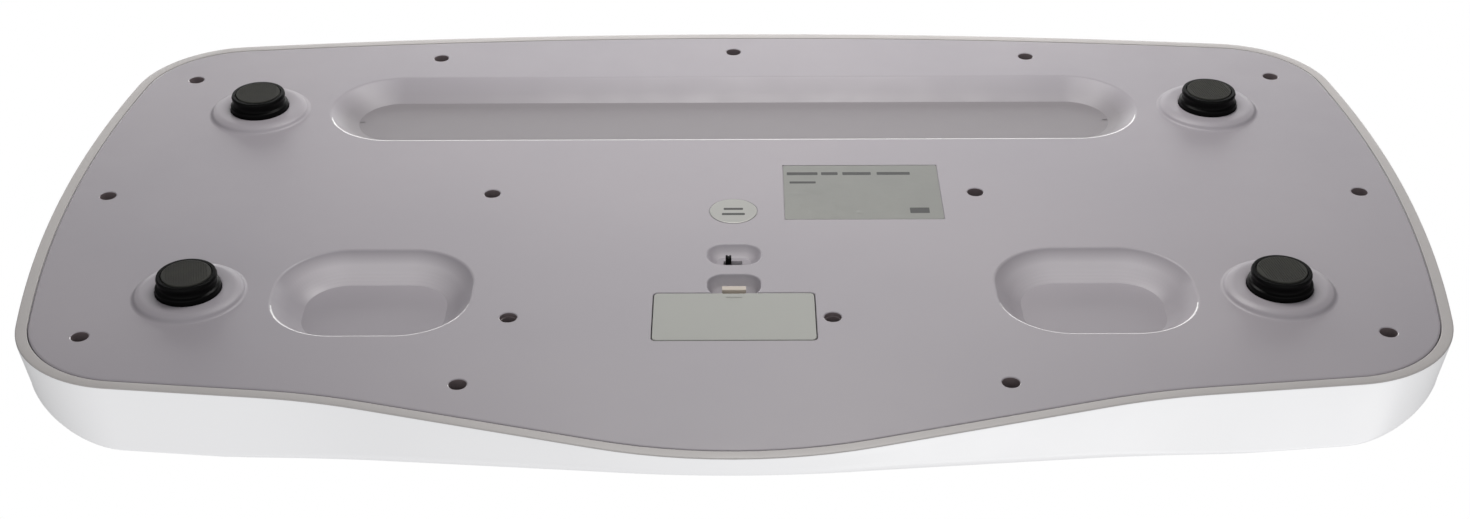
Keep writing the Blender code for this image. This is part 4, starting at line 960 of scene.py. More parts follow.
@dataclass(frozen=True)
class Foil:
    """Silvered label stock with small blisters and a matt varnish."""

    name: str
    colour: Colour
    shade: Colour
    metallic: float = 0.35
    roughness: Pair = (0.30, 0.42)
    blister_scale: float = 95.0
    blister_share: float = 0.16
    fine: float = 400.0

    def make(self) -> bpy.types.Material:
        """Build the material."""
        shader = Shader(self.name)
        cloud = shader.effect("mottle", Scale=25.0, Contrast=1.5).outputs["Mask"]
        shader.link(shader.blend(cloud, self.colour, self.shade), shader.surface.inputs["Base Color"])
        fine = shader.effect("mottle", Scale=self.fine, Contrast=1.5).outputs["Mask"]
        shader.link(shader.span(fine, *self.roughness), shader.surface.inputs["Roughness"])
        place = shader.node("TexCoord")
        cells = shader.node("TexVoronoi")
        cells.inputs["Scale"].default_value = self.blister_scale
        shader.link(place.outputs["Object"], cells.inputs["Vector"])
        dome = shader.math("SUBTRACT", self.blister_share, cells.outputs["Distance"])
        raised = shader.math("MAXIMUM", dome, 0.0)
        chosen = shader.math("GREATER_THAN", cells.outputs["Color"], 0.55)
        shader.bump(shader.math("MULTIPLY", raised, chosen), 0.9 * MM, 0.8)
        shader.value(Metallic=self.metallic)
        return shader.made


@dataclass(frozen=True)
class CircuitBoard:
    """Green board with copper tracks under the resist."""

    name: str
    colour: Colour = (0.015, 0.14, 0.06)
    track: Colour = (0.05, 0.27, 0.11)

    def make(self) -> bpy.types.Material:
        """Build the material."""
        shader = Shader(self.name)
        place = shader.node("TexCoord")
        tracks = shader.node("TexBrick", offset=0.35, squash=1.6, squash_frequency=3)
        tracks.inputs["Scale"].default_value = 95.0
        tracks.inputs["Mortar Size"].default_value = 0.03
        shader.link(place.outputs["Object"], tracks.inputs["Vector"])
        shader.link(shader.blend(tracks.outputs["Fac"], self.colour, self.track), shader.surface.inputs["Base Color"])
        cloud = shader.effect("mottle", Scale=80.0, Contrast=1.5).outputs["Mask"]
        shader.link(shader.span(cloud, 0.25, 0.4), shader.surface.inputs["Roughness"])
        shader.bump(tracks.outputs["Fac"], 0.05 * MM, 0.6)
        return shader.made


@dataclass(frozen=True)
class Rubber:
    """Dull rubber with cloudy dusty patches."""

    name: str
    colour: Colour = (0.017, 0.017, 0.014)
    dust: Colour = (0.040, 0.040, 0.034)

    def make(self) -> bpy.types.Material:
        """Build the material."""
        shader = Shader(self.name)
        cloud = shader.effect("mottle", Scale=160.0, Contrast=2.0).outputs["Mask"]
        colour = shader.blend(cloud, self.colour, self.dust)
        shader.link(colour, shader.surface.inputs["Base Color"])
        shader.link(shader.span(cloud, 0.75, 0.95), shader.surface.inputs["Roughness"])
        grain = shader.effect("grain", Scale=2600.0, Amount=1.0).outputs["Height"]
        shader.bump(grain, 0.05 * MM, 0.6)
        return shader.made


@dataclass(frozen=True)
class Clear:
    """Clear plastic or glass, with the faintest waviness."""

    name: str
    colour: Colour
    alpha: float
    roughness: float

    def make(self) -> bpy.types.Material:
        """Build the material."""
        shader = Shader(self.name)
        cloud = shader.effect("mottle", Scale=30.0, Contrast=1.0).outputs["Mask"]
        tint = tuple(0.93 * part for part in self.colour)
        shader.link(shader.blend(cloud, self.colour, tint), shader.surface.inputs["Base Color"])
        shader.link(shader.span(cloud, self.roughness, self.roughness + 0.05), shader.surface.inputs["Roughness"])
        shader.bump(cloud, 0.02 * MM, 0.3)
        shader.value(Alpha=self.alpha)
        return shader.made


class Finishes:
    """Every material of the scale, by slot."""

    def __init__(self) -> None:
        """Build them all."""
        lilac, lilac_shade = (0.372, 0.345, 0.372), (0.335, 0.315, 0.345)
        recipes = {
            Slot.WHITE: Moulding("white_plastic", (0.86, 0.86, 0.87), (0.83, 0.83, 0.845), (0.28, 0.38)),
            # The grey cover's two extra tones are painted light on front-facing recess slopes and painted shade on
            # deep back floors.
            Slot.GREY: Moulding("grey_plastic", lilac, lilac_shade, (0.38, 0.50), relief=0.03 * MM, mottle=7.0,
                                painted_light_tone=(0.62, 0.59, 0.62), painted_shade_tone=(0.265, 0.248, 0.262)),
            Slot.DOOR: Moulding("door_plastic", (0.355, 0.360, 0.335), (0.335, 0.340, 0.318), (0.45, 0.55)),
            Slot.BLACK: Moulding("black_plastic", (0.002, 0.002, 0.002), (0.004, 0.004, 0.004), (0.26, 0.38),
                                 relief=0.01 * MM, shine=0.06),
            Slot.PAD: Rubber("grip_pad"),
            Slot.STEEL: Plating("plated_steel", (0.56, 0.56, 0.57), (0.44, 0.45, 0.47)),
            Slot.CELL: Plating("cell_steel", (0.66, 0.66, 0.67), (0.58, 0.58, 0.60), (0.16, 0.28)),
            Slot.BOARD: CircuitBoard("green_board"),
            Slot.CHIP: Moulding("chip_resin", (0.020, 0.020, 0.022), (0.032, 0.031, 0.033), (0.45, 0.6)),
            Slot.GLASS: Clear("display_glass", (0.36, 0.42, 0.35), 1.0, 0.12),
            Slot.WINDOW: Clear("clear_window", (0.80, 0.83, 0.83), 0.25, 0.05),
            Slot.BUTTON: Moulding("button_plastic", (0.52, 0.54, 0.57), (0.48, 0.50, 0.53), (0.3, 0.4)),
            Slot.LABEL: Foil("silver_label", (0.285, 0.288, 0.268), (0.250, 0.254, 0.242)),
            Slot.STICKER: Foil("silver_sticker", (0.41, 0.41, 0.39), (0.37, 0.37, 0.355), 0.45, (0.34, 0.42),
                               240.0, 0.0, 90.0),
            Slot.LEAD: Moulding("lead_sheath", (0.05, 0.05, 0.055), (0.035, 0.035, 0.04), (0.4, 0.55)),
            Slot.RIBBON: Moulding("ribbon_sheath", (0.52, 0.52, 0.53), (0.46, 0.46, 0.48), (0.4, 0.55)),
        }
        self._made = {slot: recipe.make() for slot, recipe in recipes.items()}
        self.rim = Moulding("tray_rim", (0.50, 0.475, 0.465), (0.46, 0.44, 0.435), (0.35, 0.45)).make()
        self.catch = Moulding("catch_plastic", (0.56, 0.50, 0.43), (0.50, 0.44, 0.38), (0.4, 0.5)).make()
        # Painted highlight: a near-white tone on the rolled front lips that face the back light.
        self.lip = Moulding("painted_lip_highlight", (0.88, 0.87, 0.87), (0.82, 0.81, 0.82), (0.2, 0.3)).make()
        self.well = Moulding("well_shade", (0.19, 0.155, 0.160), (0.165, 0.135, 0.14), (0.5, 0.6)).make()
        self.print = Moulding("label_print", (0.03, 0.03, 0.03), (0.05, 0.05, 0.05), (0.4, 0.5)).make()

    def of(self, slot: Slot) -> bpy.types.Material:
        """The material of a slot."""
        return self._made[slot]


@dataclass
class Assembly:
    """Base of the sub-assemblies: it dresses pieces and fits them to the frame."""

    finishes: Finishes
    pieces: list[bpy.types.Object] = field(default_factory=list)

    def fit(self, piece: bpy.types.Object, body: Body, slot: Slot, *nodes: str) -> bpy.types.Object:
        """Dress a piece, stand it for its nodes and let it ride.

        Args:
            piece: the finished shape, in its place.
            body: that it moves with.
            slot: its finish.
            nodes: that it stands for.

        Returns:
            The piece.
        """
        if not piece.data.materials:
            piece.data.materials.append(self.finishes.of(slot))
        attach(piece, body.value)
        if nodes:
            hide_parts(*nodes)
        self.pieces.append(piece)
        LOG.info("%s: %d faces", piece.name, len(piece.data.polygons))
        return piece


# ---- tray ----------------------------------------------------------------------------------------
@dataclass
class Tray(Assembly):
    """White cradle tray with its sloped display panel."""

    rings_over_edge: int = 10
    dish_shares: tuple[float, ...] = (0.985, 0.955, 0.915, 0.87, 0.81, 0.74, 0.65, 0.54, 0.40, 0.20, 0.08)

    def build(self) -> None:
        """Shape the tray and dress it."""
        outline = body_outline()
        tray = self._block(outline)
        combine(tray, [self._hollow(outline)], Cut.TAKE)
        lifted(tray)
        combine(tray, self._panel_cuts(), Cut.TAKE)
        white, rim = self.finishes.of(Slot.WHITE), self.finishes.rim
        tray.data.materials.append(white)
        tray.data.materials.append(rim)
        for face in tray.data.polygons:
            level = abs(face.center.z - SIZE.cover_z) < 1.2 * MM
            face.material_index = 1 if level and face.normal.z < -0.3 else 0
        polish(tray, 30.0)
        self.fit(tray, Body.CASING, Slot.WHITE, "tray_shell")

    def _edge_radii(self, outline: Outline) -> list[float]:
        """Radius of the upper edge at each point, large where it faces an end."""
        radii = []
        for index, before in enumerate(outline[-1:] + outline[:-1]):
            after = outline[(index + 1) % len(outline)]
            facing_end = abs(after[1] - before[1]) / math.dist(before, after)
            radii.append(SIZE.flank_round + (SIZE.end_round - SIZE.flank_round) * smoothstep(facing_end))
        return radii

    def _rounded_edge(self, outline: Outline, start: float, radii: list[float], drop: float) -> list:
        """Rings over the round upper edge."""
        rings = []
        for step in range(self.rings_over_edge + 1):
            angle = math.radians(90) * step / self.rings_over_edge
            ring = inset(outline, [start + radius * (1 - math.cos(angle)) for radius in radii])
            rings.append([(x, y, top_height(x, y) - drop - radius * (1 - math.sin(angle)))
                          for (x, y), radius in zip(ring, radii)])
        return rings

    def _lip(self, outline: Outline, start: float, radii: list[float], front_y: float, drop: float) -> list:
        """Rings along the panel's upper edge and along the lip of the hollow."""
        rings = []
        for share, line in ((0.5, SIZE.panel_top_y), (1.0, front_y)):
            ring = inset(outline, [start + radius + share * SIZE.lip_width for radius in radii])
            ring = [(x, max(y, line)) for x, y in ring]
            rings.append([(x, y, top_height(x, y) - drop) for x, y in ring])
        return rings

    def _dish(self, lip: list, drop: float) -> list:
        """Rings of the cradle from its lip to its middle."""
        rings = []
        for share in self.dish_shares:
            ring = []
            for x, y, _ in lip:
                across = Vector((x, y - SIZE.dish_centre_y))
                power = 7.0 - 4.6 * (x / across.length) ** 2
                rise = (top_height(x, y) - SIZE.dish_floor) * share ** power
                ring.append((x * share, SIZE.dish_centre_y + (y - SIZE.dish_centre_y) * share,
                             SIZE.dish_floor + rise - drop))
            rings.append(ring)
        return rings

    def _block(self, outline: Outline) -> bpy.types.Object:
        """Solid under the tray's upper surface."""
        radii = self._edge_radii(outline)
        rings = [ring_at(inset(outline, 0.9 * MM), 0.0), ring_at(inset(outline, 0.35 * MM), 0.12 * MM),
                 ring_at(inset(outline, 0.08 * MM), 0.45 * MM), ring_at(inset(outline, 0.05 * MM), 1.0 * MM)]
        over = self._rounded_edge(outline, SIZE.draft, radii, 0.0)
        for share in (0.3, 0.6, 0.85):
            rings.append([tuple(Vector(low).lerp(Vector(high), share)) for low, high in zip(rings[3], over[0])])
        rings += over
        rings += self._lip(outline, SIZE.draft, radii, SIZE.dish_front_y, 0.0)
        rings += self._dish(rings[-1], 0.0)
        return loft("tray", rings)

    def _hollow(self, outline: Outline) -> bpy.types.Object:
        """Space inside the tray, open at the cover."""
        start = SIZE.draft + SIZE.shell
        radii = [max(SIZE.flank_round, radius - SIZE.shell) for radius in self._edge_radii(outline)]
        slant = SIZE.shell / math.cos(math.radians(SIZE.panel_slope))
        mouth = inset(outline, SIZE.rim_width)
        rings = [ring_at(inset(mouth, -0.5 * MM), -1.0 * MM), ring_at(inset(mouth, -0.5 * MM), -0.02 * MM),
                 ring_at(inset(mouth, -0.15 * MM), 0.12 * MM), ring_at(mouth, 0.5 * MM),
                 ring_at(mouth, SIZE.shell + GAP)]
        rings += self._rounded_edge(outline, start, radii, slant)
        rings += self._lip(outline, start, radii, SIZE.dish_front_y + SIZE.shell, slant)
        rings += self._dish(rings[-1], SIZE.shell)
        return loft("tray_space", rings)

    def _panel_cuts(self) -> list:
        """Window rebate, viewing hole and button holes, in the panel's place."""
        width, height, deep = SIZE.window
        rebate = rounded_rectangle(width + 2 * GAP, height + 2 * GAP, 2.3 * MM)
        wide = inset(rebate, -0.35 * MM)
        edge = [ring_at(rebate, -deep - 2 * GAP), ring_at(rebate, -0.3 * MM), ring_at(wide, 0.1 * MM),
                ring_at(wide, 5 * MM)]
        view = rounded_rectangle(SIZE.lcd[0] - 3 * MM, SIZE.lcd[1] - 3 * MM, 1.0 * MM)
        cuts = [loft("rebate", edge), slab("view", view, -6 * MM, 4 * MM)]
        for side in (1, -1):
            radius = SIZE.button_radius + GAP
            profile = [(radius, -6 * MM), (radius, -0.3 * MM), (radius + 0.4 * MM, 0.1 * MM),
                       (radius + 0.4 * MM, 5 * MM)]
            cuts.append(turned("button_hole", profile, 48, (side * SIZE.button_x, SIZE.button_up)))
        return [moved(cut, deck_frame()) for cut in cuts]


# ---- cover ---------------------------------------------------------------------------------------
@dataclass(frozen=True)
class Recess:
    """A recess in the cover: its outline, depth, width of slope and wall behind it."""

    outline: Outline
    depth: float
    slope: float
    wall: float
    lip: float = 1.2 * MM
    foot: float = 3.0 * MM
    flat: float = 2.5 * MM

    def cutter(self) -> bpy.types.Object:
        """Tool with a softly rolled lip and a soft foot to its slope."""
        corners = [(-2.6 * self.lip, -0.01 * MM), (0.0, 0.0), (0.88 * self.slope, self.depth - 1.2 * MM),
                   (self.slope + 1.5 * MM, self.depth)]
        profile = soft_profile(corners, [self.lip, min(self.foot, 0.4 * self.slope)], 5)
        start = [(profile[0][0], -SIZE.shell), (profile[0][0], -0.05 * MM)]
        level = [(profile[-1][0] + self.flat, self.depth)]
        profile = start + profile[1:] + level
        return loft("recess", [ring_at(inset(self.outline, reach), z) for reach, z in profile], strips=True)

    def backing(self) -> bpy.types.Object:
        """Solid that stands behind the recess, inside the scale."""
        rings = [(-self.wall, 0.4 * SIZE.shell),
                 (0.88 * self.slope - 0.8 * self.wall, self.depth - 1.2 * MM + 0.7 * self.wall),
                 (self.slope + 1.5 * MM - 0.4 * self.wall, self.depth + self.wall)]
        return loft("backing", [ring_at(inset(self.outline, reach), z) for reach, z in rings])


@dataclass
class Cover(Assembly):
    """Lilac-grey bottom cover with recesses, foot collars, battery bay and screw wells."""

    seam: float = 0.3 * MM

    def recesses(self) -> list[Recess]:
        """The hanging recess, the two grips, the switch well and the finger well."""
        rear = rounded_rectangle(359.0 * MM, 59.8 * MM, 29.8 * MM, (0.0, 93.2 * MM), FINE)
        grips = [rounded_rectangle(77.5 * MM, 62.0 * MM, 27.0 * MM, (side * 140.0 * MM, -59.5 * MM), FINE)
                 for side in (1, -1)]
        switch = rounded_rectangle(21.8 * MM, 16.0 * MM, 7.2 * MM, (0.0, SIZE.switch_y))
        finger = rounded_rectangle(21.0 * MM, 15.6 * MM, 6.5 * MM, (0.0, SIZE.door_back_y + 5.8 * MM))
        return [
            Recess(rear, 7.0 * MM, 10.5 * MM, SIZE.shell, 0.8 * MM, 4.0 * MM),
            Recess(grips[0], 10.0 * MM, 9.4 * MM, SIZE.shell, 0.8 * MM, 4.5 * MM),
            Recess(grips[1], 10.0 * MM, 9.4 * MM, SIZE.shell, 0.8 * MM, 4.5 * MM),
            Recess(switch, 4.0 * MM, 2.6 * MM, 1.5 * MM, 0.6 * MM, 0.8 * MM, 0.3 * MM),
            Recess(finger, 6.0 * MM, 2.2 * MM, 1.5 * MM, 0.6 * MM, 0.8 * MM, 0.3 * MM),
        ]

    def build(self) -> None:
        """Shape the cover and dress it."""
        cover = self._plate()
        recesses = self.recesses()
        combine(cover, [recess.backing() for recess in recesses], Cut.ADD)
        combine(cover, [self._collar(at) for at in SIZE.feet.values()], Cut.ADD)
        reach_x, reach_y = SIZE.door_width / 2 + SIZE.bay_wall, SIZE.door_depth / 2 + SIZE.bay_wall
        bay = box("bay", (-reach_x, SIZE.door_y - reach_y, 0.4 * SIZE.shell),
                  (reach_x, SIZE.door_y + reach_y, SIZE.bay_depth + 1.5 * MM))
        post = [(SIZE.post_radius, 0.4 * SIZE.shell), (SIZE.post_radius, SIZE.post_height)]
        posts = [turned("post", post, 16, at) for at in SIZE.screws]
        combine(cover, [bay] + posts, Cut.ADD)
        combine(cover, [recess.cutter() for recess in recesses], Cut.TAKE)
        combine(cover, self._bay_cuts(), Cut.TAKE)
        combine(cover, [self._nest()], Cut.ADD)
        wells = self._foot_cuts() + self._screw_cuts() + self._label_cuts()
        combine(cover, wells + [self._switch_slot()], Cut.TAKE)
        lifted(cover)
        polish(cover, 34.0)
        cover.data.materials.append(self.finishes.of(Slot.GREY))
        cover.data.materials.append(self.finishes.well)
        cover.data.materials.append(self.finishes.lip)
        # Faces inside screw wells get the painted well shade, rolled front lips the painted highlight.
        for face in cover.data.polygons:
            face.material_index = 1 if self._in_well(face.center) else 2 if self._on_highlit_lip(face) else 0
        self.fit(cover, Body.CASING, Slot.GREY, "bottom_cover")

    def _plate(self) -> bpy.types.Object:
        """Flat plate with a soft outer edge."""
        edge = inset(body_outline(), SIZE.rim_width + self.seam)
        rings = [ring_at(inset(edge, 1.0 * MM), 0.0), ring_at(inset(edge, 0.5 * MM), 0.05 * MM),
                 ring_at(inset(edge, 0.15 * MM), 0.22 * MM), ring_at(edge, 0.6 * MM), ring_at(edge, SIZE.shell)]
        return loft("cover", rings)

    @staticmethod
    def _on_highlit_lip(face: bpy.types.MeshPolygon) -> bool:
        """Whether a face is on a rolled front lip of a recess or a screw well that faces the back light, where a
        highlight is painted.
        """
        height = face.center.z - SIZE.cover_z
        beside_door = 33 * MM < abs(face.center.x) < 0.93 * SIZE.half_width
        behind_feet = face.center.y > 60 * MM
        rolled = 0.02 * MM < height < 0.6 * MM and face.normal.y > 0.12 and face.normal.z < -0.5
        return rolled and (beside_door or behind_feet)

    @staticmethod
    def _in_well(point: Vector) -> bool:
        """Whether a point lies inside a screw well, behind its broken edge."""
        if point.z < SIZE.cover_z + 0.3 * MM:
            return False
        return any(math.dist(point.xy, at) < SIZE.screw_hole + 0.1 * MM for at in SIZE.screws)

    @staticmethod
    def _collar(at: Pair) -> bpy.types.Object:
        """Raised round collar with a rolled shoulder and a small fillet at its root."""
        height, radius, bend = SIZE.collar_height, SIZE.collar_radius, 2.7 * MM
        corners = [(radius + 1.6 * MM, 0.03 * MM), (radius + 0.1 * MM, 0.0), (radius - 0.9 * MM, -1.5 * MM),
                   (radius - bend - 0.6 * MM, -height), (SIZE.foot_hole + 0.9 * MM, -height)]
        profile = [(radius + 1.6 * MM, 0.4 * SIZE.shell)] + soft_profile(corners, [1.0 * MM, 0.75 * MM, 1.2 * MM], 6)
        profile.append((SIZE.foot_hole, -height + 0.45 * MM))
        return turned("collar", profile, 72, at)

    @staticmethod
    def _bay_cuts() -> list:
        """Door opening with its seat for the catch, and the hook pockets."""
        opening = rounded_rectangle(SIZE.door_width, SIZE.door_depth, 2.0 * MM, (0.0, SIZE.door_y))
        rings = [ring_at(inset(opening, -0.3 * MM), -MM), ring_at(inset(opening, -0.3 * MM), -0.01 * MM),
                 ring_at(opening, 0.25 * MM), ring_at(opening, SIZE.bay_depth)]
        cuts = [loft("opening", rings)]
        for side in (1, -1):
            middle = side * 20.0 * MM
            cuts.append(box("hook_pocket", (middle - 3.5 * MM, SIZE.door_front_y - SIZE.bay_wall - MM, SIZE.shell),
                            (middle + 3.5 * MM, SIZE.door_front_y + MM, SIZE.bay_depth)))
        half = 7.7 * MM
        reach = SIZE.door_back_y + SIZE.catch_gap + SIZE.catch_pad + 1.6 * MM
        cuts.append(box("catch_seat", (-half, SIZE.door_back_y - MM, 0.9 * MM), (half, reach, 6.0 * MM)))
        return cuts

    @staticmethod
    def _nest() -> bpy.types.Object:
        """Wall that holds the coin cell, with a finger notch and a gap for the side contact."""
        inner, low = SIZE.cell_radius + GAP, SIZE.door_thickness + GAP
        centre = (0.0, SIZE.door_y)
        wall = turned("nest", [(inner + 1.2 * MM, low), (inner + 1.4 * MM, low + 0.2 * MM),
                               (inner + 1.4 * MM, SIZE.bay_depth + 0.75 * MM)], 64, centre)
        bore = turned("bore", [(inner, low - MM), (inner, SIZE.bay_depth)], 64, centre)
        reach = inner + 2.8 * MM
        notch = box("notch", (-reach, SIZE.door_y - 5 * MM, low - MM),
                    (-inner / 2, SIZE.door_y + 5 * MM, SIZE.bay_depth))
        gap = box("gap", (inner / 2, SIZE.door_y - 2.8 * MM, low - MM),
                  (reach, SIZE.door_y + 2.8 * MM, SIZE.bay_depth))
        return combine(wall, [bore, notch, gap], Cut.TAKE)

    @staticmethod
    def _foot_cuts() -> list:
        """Foot holes through the collars, wider inside for the foot's flange."""
        floor = SIZE.shell - SIZE.collar_height
        return [turned("foot_cut", [(SIZE.foot_hole, -6 * MM), (SIZE.foot_hole, floor), (15.6 * MM, floor),
                                    (15.6 * MM, 2 * SIZE.shell)], 72, at) for at in SIZE.feet.values()]

    @staticmethod
    def _screw_cuts() -> list:
        """Screw wells with a small broken edge; the two beside the door have a ledge."""
        cuts = []
        for index, at in enumerate(SIZE.screws):
            wide = SIZE.screw_hole
            profile = [(wide + 0.35 * MM, -SIZE.shell), (wide + 0.35 * MM, -0.01 * MM), (wide, 0.28 * MM)]
            if index >= 13:
                profile += [(wide, 1.7 * MM), (wide - 0.5 * MM, 1.9 * MM), (wide - 0.5 * MM, SIZE.screw_seat)]
            else:
                profile.append((wide, SIZE.screw_seat))
            profile += [(1.7 * MM, SIZE.screw_seat), (1.7 * MM, SIZE.post_height + MM)]
            cuts.append(turned("screw_cut", profile, 36, at))
        return cuts

    @staticmethod
    def _label_cuts() -> list:
        """Shallow seats of the rating label and the sticker."""
        x, y = -53.4 * MM, 16.9 * MM
        seat = box("label_seat", (x - 32.8 * MM, y - 22.8 * MM, -MM), (x + 32.8 * MM, y + 22.8 * MM, 0.5 * MM))
        disc = turned("sticker_seat", [(10.0 * MM, -MM), (10.0 * MM, GAP)], 64, (0.2 * MM, 1.1 * MM))
        return [seat, disc]

    @staticmethod
    def _switch_slot() -> bpy.types.Object:
        """Slot that the switch's lever moves in."""
        return box("switch_slot", (-3.3 * MM, SIZE.switch_y - 1.4 * MM, 0.0), (4.1 * MM, SIZE.switch_y + 1.4 * MM, 7 * MM))


# ---- door ----------------------------------------------------------------------------------------
@dataclass
class Door(Assembly):
    """Battery door with two hooks, a sprung catch and a small moulded arrow."""

    play: float = 0.35 * MM
    edge: float = 0.35 * MM

    def build(self) -> None:
        """Shape the door and its catch."""
        plate = rounded_rectangle(SIZE.door_width - 2 * self.play, SIZE.door_depth - 2 * self.play, 1.9 * MM,
                                  (0.0, SIZE.door_y))
        door = soft_slab("door", plate, 0.0, SIZE.door_thickness, self.edge)
        low, high = SIZE.shell + GAP, SIZE.shell + 1.5 * MM
        front, root, web = (SIZE.door_front_y + reach for reach in (-2.2 * MM, 3.2 * MM, 1.2 * MM))
        hook = [(web, 1.2 * MM), (root, 1.2 * MM), (root, high), (front, high), (front, low), (web, low)]
        hooks = [self._across("hook", hook, (side * 20.0 - 3.0) * MM, (side * 20.0 + 3.0) * MM) for side in (1, -1)]
        combine(door, hooks + [self._catch()], Cut.ADD)
        combine(door, [self._arrow(), self._thumb_dip()], Cut.TAKE)
        lifted(door)
        polish(door, 34.0)
        door.data.materials.append(self.finishes.of(Slot.DOOR))
        door.data.materials.append(self.finishes.catch)
        for face in door.data.polygons:
            face.material_index = 1 if face.center.y > SIZE.door_back_y - 0.34 * MM else 0
        self.fit(door, Body.DOOR, Slot.DOOR, "battery_door")

    @staticmethod
    def _across(name: str, profile: Outline, low: float, high: float) -> bpy.types.Object:
        """Piece whose (Y, height) profile runs along X."""
        return loft(name, [[(x, y, z) for y, z in profile] for x in (low, high)])

    def _catch(self) -> bpy.types.Object:
        """U-shaped sprung catch with its thumb pad."""
        wall, edge, top = SIZE.catch_thickness, SIZE.door_back_y - self.play, SIZE.catch_depth
        inner = edge + SIZE.catch_gap + 0.8 * MM
        low, pad = 0.25 * MM, inner + SIZE.catch_pad
        corners = [(edge - wall, 1.0 * MM), (edge, 1.0 * MM), (edge, top - wall), (inner, top - wall),
                   (inner, low + 0.15 * MM), (inner + 0.15 * MM, low), (pad - 0.15 * MM, low), (pad, low + 0.15 * MM),
                   (pad, low + wall), (inner + wall + 0.3 * MM, low + wall), (inner + wall, low + wall + 0.3 * MM),
                   (inner + wall, top - 0.4 * MM), (inner + wall - 0.4 * MM, top), (edge - wall, top)]
        return self._across("catch", corners, -SIZE.catch_width / 2, SIZE.catch_width / 2)

    @staticmethod
    def _arrow() -> bpy.types.Object:
        """Small moulded triangle that points away from the catch."""
        y = SIZE.door_back_y - 3.2 * MM
        outline = [(-3.3 * MM, y), (0.0, y - 4.2 * MM), (3.3 * MM, y)]
        return slab("arrow", outline, -MM, 0.16 * MM)

    @staticmethod
    def _thumb_dip() -> bpy.types.Object:
        """Shallow dip in the door's edge beside the catch."""
        return slab("dip", rounded_rectangle(9.0 * MM, 1.6 * MM, 0.7 * MM, (0.0, SIZE.door_back_y)), -MM, 0.3 * MM)


# ---- feet ----------------------------------------------------------------------------------------
@dataclass
class Feet(Assembly):
    """Four glossy black feet with ribbed rubber pads."""

    rib_pitch: float = 0.95 * MM
    rib_gap: float = 0.34 * MM
    rib_deep: float = 0.22 * MM
    pad_radius: float = 9.6 * MM

    def build(self) -> None:
        """Shape one foot and one pad, and stand a copy of each in every place."""
        foot, pad = self._foot(), self._pad()
        for name, (x, y) in SIZE.feet.items():
            for shape, kind, slot in ((foot, "foot", Slot.BLACK), (pad, "foot_pad", Slot.PAD)):
                piece = bpy.data.objects.new(f"{kind}_{name}_seen", shape.data.copy())
                bpy.context.scene.collection.objects.link(piece)
                moved(piece, Matrix.Translation((x, y, 0.0)))
                polish(piece, 30.0, weighted=False)
                self.fit(piece, Body.CASING, slot, f"{kind}_{name}")
        bpy.data.objects.remove(foot)
        bpy.data.objects.remove(pad)

    def _foot(self) -> bpy.types.Object:
        """Foot with a waist, a flared skirt and a round shoulder."""
        sole, hole = 0.4 * MM, SIZE.foot_hole - 0.35 * MM
        band = SIZE.cover_z - SIZE.collar_height - 1.9 * MM
        corners = [(10.7 * MM, sole), (11.4 * MM, sole), (11.8 * MM, sole + 1.1 * MM), (11.15 * MM, band - 1.6 * MM),
                   (11.2 * MM, band - 0.4 * MM), (hole, band + 0.2 * MM), (hole, band + 1.2 * MM)]
        reach = [0.3 * MM, 0.45 * MM, 0.5 * MM, 0.5 * MM, 0.45 * MM]
        flange = SIZE.cover_z + 0.4 * MM
        profile = [(self.pad_radius + GAP, 1.5 * MM), (self.pad_radius + GAP, sole + 0.15 * MM),
                   (self.pad_radius + GAP + 0.15 * MM, sole)]
        profile += soft_profile(corners, reach, 5)
        profile += [(hole, flange), (14.6 * MM, flange), (14.6 * MM, flange + 1.8 * MM),
                    (5.0 * MM, flange + 1.8 * MM), (5.0 * MM, SIZE.cover_z + 4.7 * MM)]
        return turned("foot", profile, 96)

    def _pad(self) -> bpy.types.Object:
        """Rubber disc with fine straight ribs."""
        edge = 0.3 * MM
        profile = [(self.pad_radius - edge, 0.0), (self.pad_radius - 0.1 * MM, 0.08 * MM), (self.pad_radius, edge),
                   (self.pad_radius, 1.2 * MM)]
        pad = turned("pad", profile, 72)
        count = int(self.pad_radius / self.rib_pitch)
        reach = self.pad_radius - 0.7 * MM
        grooves = []
        for index in range(-count, count + 1):
            middle = index * self.rib_pitch
            if abs(middle) > reach - 0.4 * MM:
                continue
            half = math.sqrt(reach ** 2 - middle ** 2)
            grooves.append(box("groove", (middle - self.rib_gap / 2, -half, -MM),
                               (middle + self.rib_gap / 2, half, self.rib_deep)))
        combine(pad, [joined("grooves", grooves)], Cut.TAKE)
        return moved(pad, Matrix.Rotation(math.radians(-12.0), 4, "Z"))


# ---- small parts of the underside ----------------------------------------------------------------
@dataclass
class Fasteners(Assembly):
    """Case screws with cross recesses, standing in their wells."""

    head: float = 2.8 * MM

    def build(self) -> None:
        """Shape one screw and stand a copy in every well."""
        seat = SIZE.screw_seat - GAP
        profile = [(0.3 * self.head, seat - 2.0 * MM), (0.75 * self.head, seat - 1.85 * MM),
                   (0.93 * self.head, seat - 1.4 * MM), (self.head, seat - 0.8 * MM), (self.head, seat),
                   (1.4 * MM, seat), (1.4 * MM, seat + 6.8 * MM), (0.5 * MM, seat + 8.0 * MM)]
        screw = turned("screw", profile, 32)
        arm, half = 1.5 * MM, 0.42 * MM
        cross = [box("slot", (-arm, -half, seat - 3 * MM), (arm, half, seat - 0.9 * MM)),
                 box("slot", (-half, -arm, seat - 3 * MM), (half, arm, seat - 0.9 * MM))]
        combine(screw, cross, Cut.TAKE)
        for index, (x, y) in enumerate(SIZE.screws, 1):
            piece = bpy.data.objects.new(f"case_screw_{index:02d}_seen", screw.data.copy())
            bpy.context.scene.collection.objects.link(piece)
            moved(piece, Matrix.Translation((x, y, SIZE.cover_z)) @ Matrix.Rotation(index * 1.7, 4, "Z"))
            polish(piece, 30.0, weighted=False)
            self.fit(piece, Body.CASING, Slot.STEEL, f"case_screw_{index:02d}")
        bpy.data.objects.remove(screw)


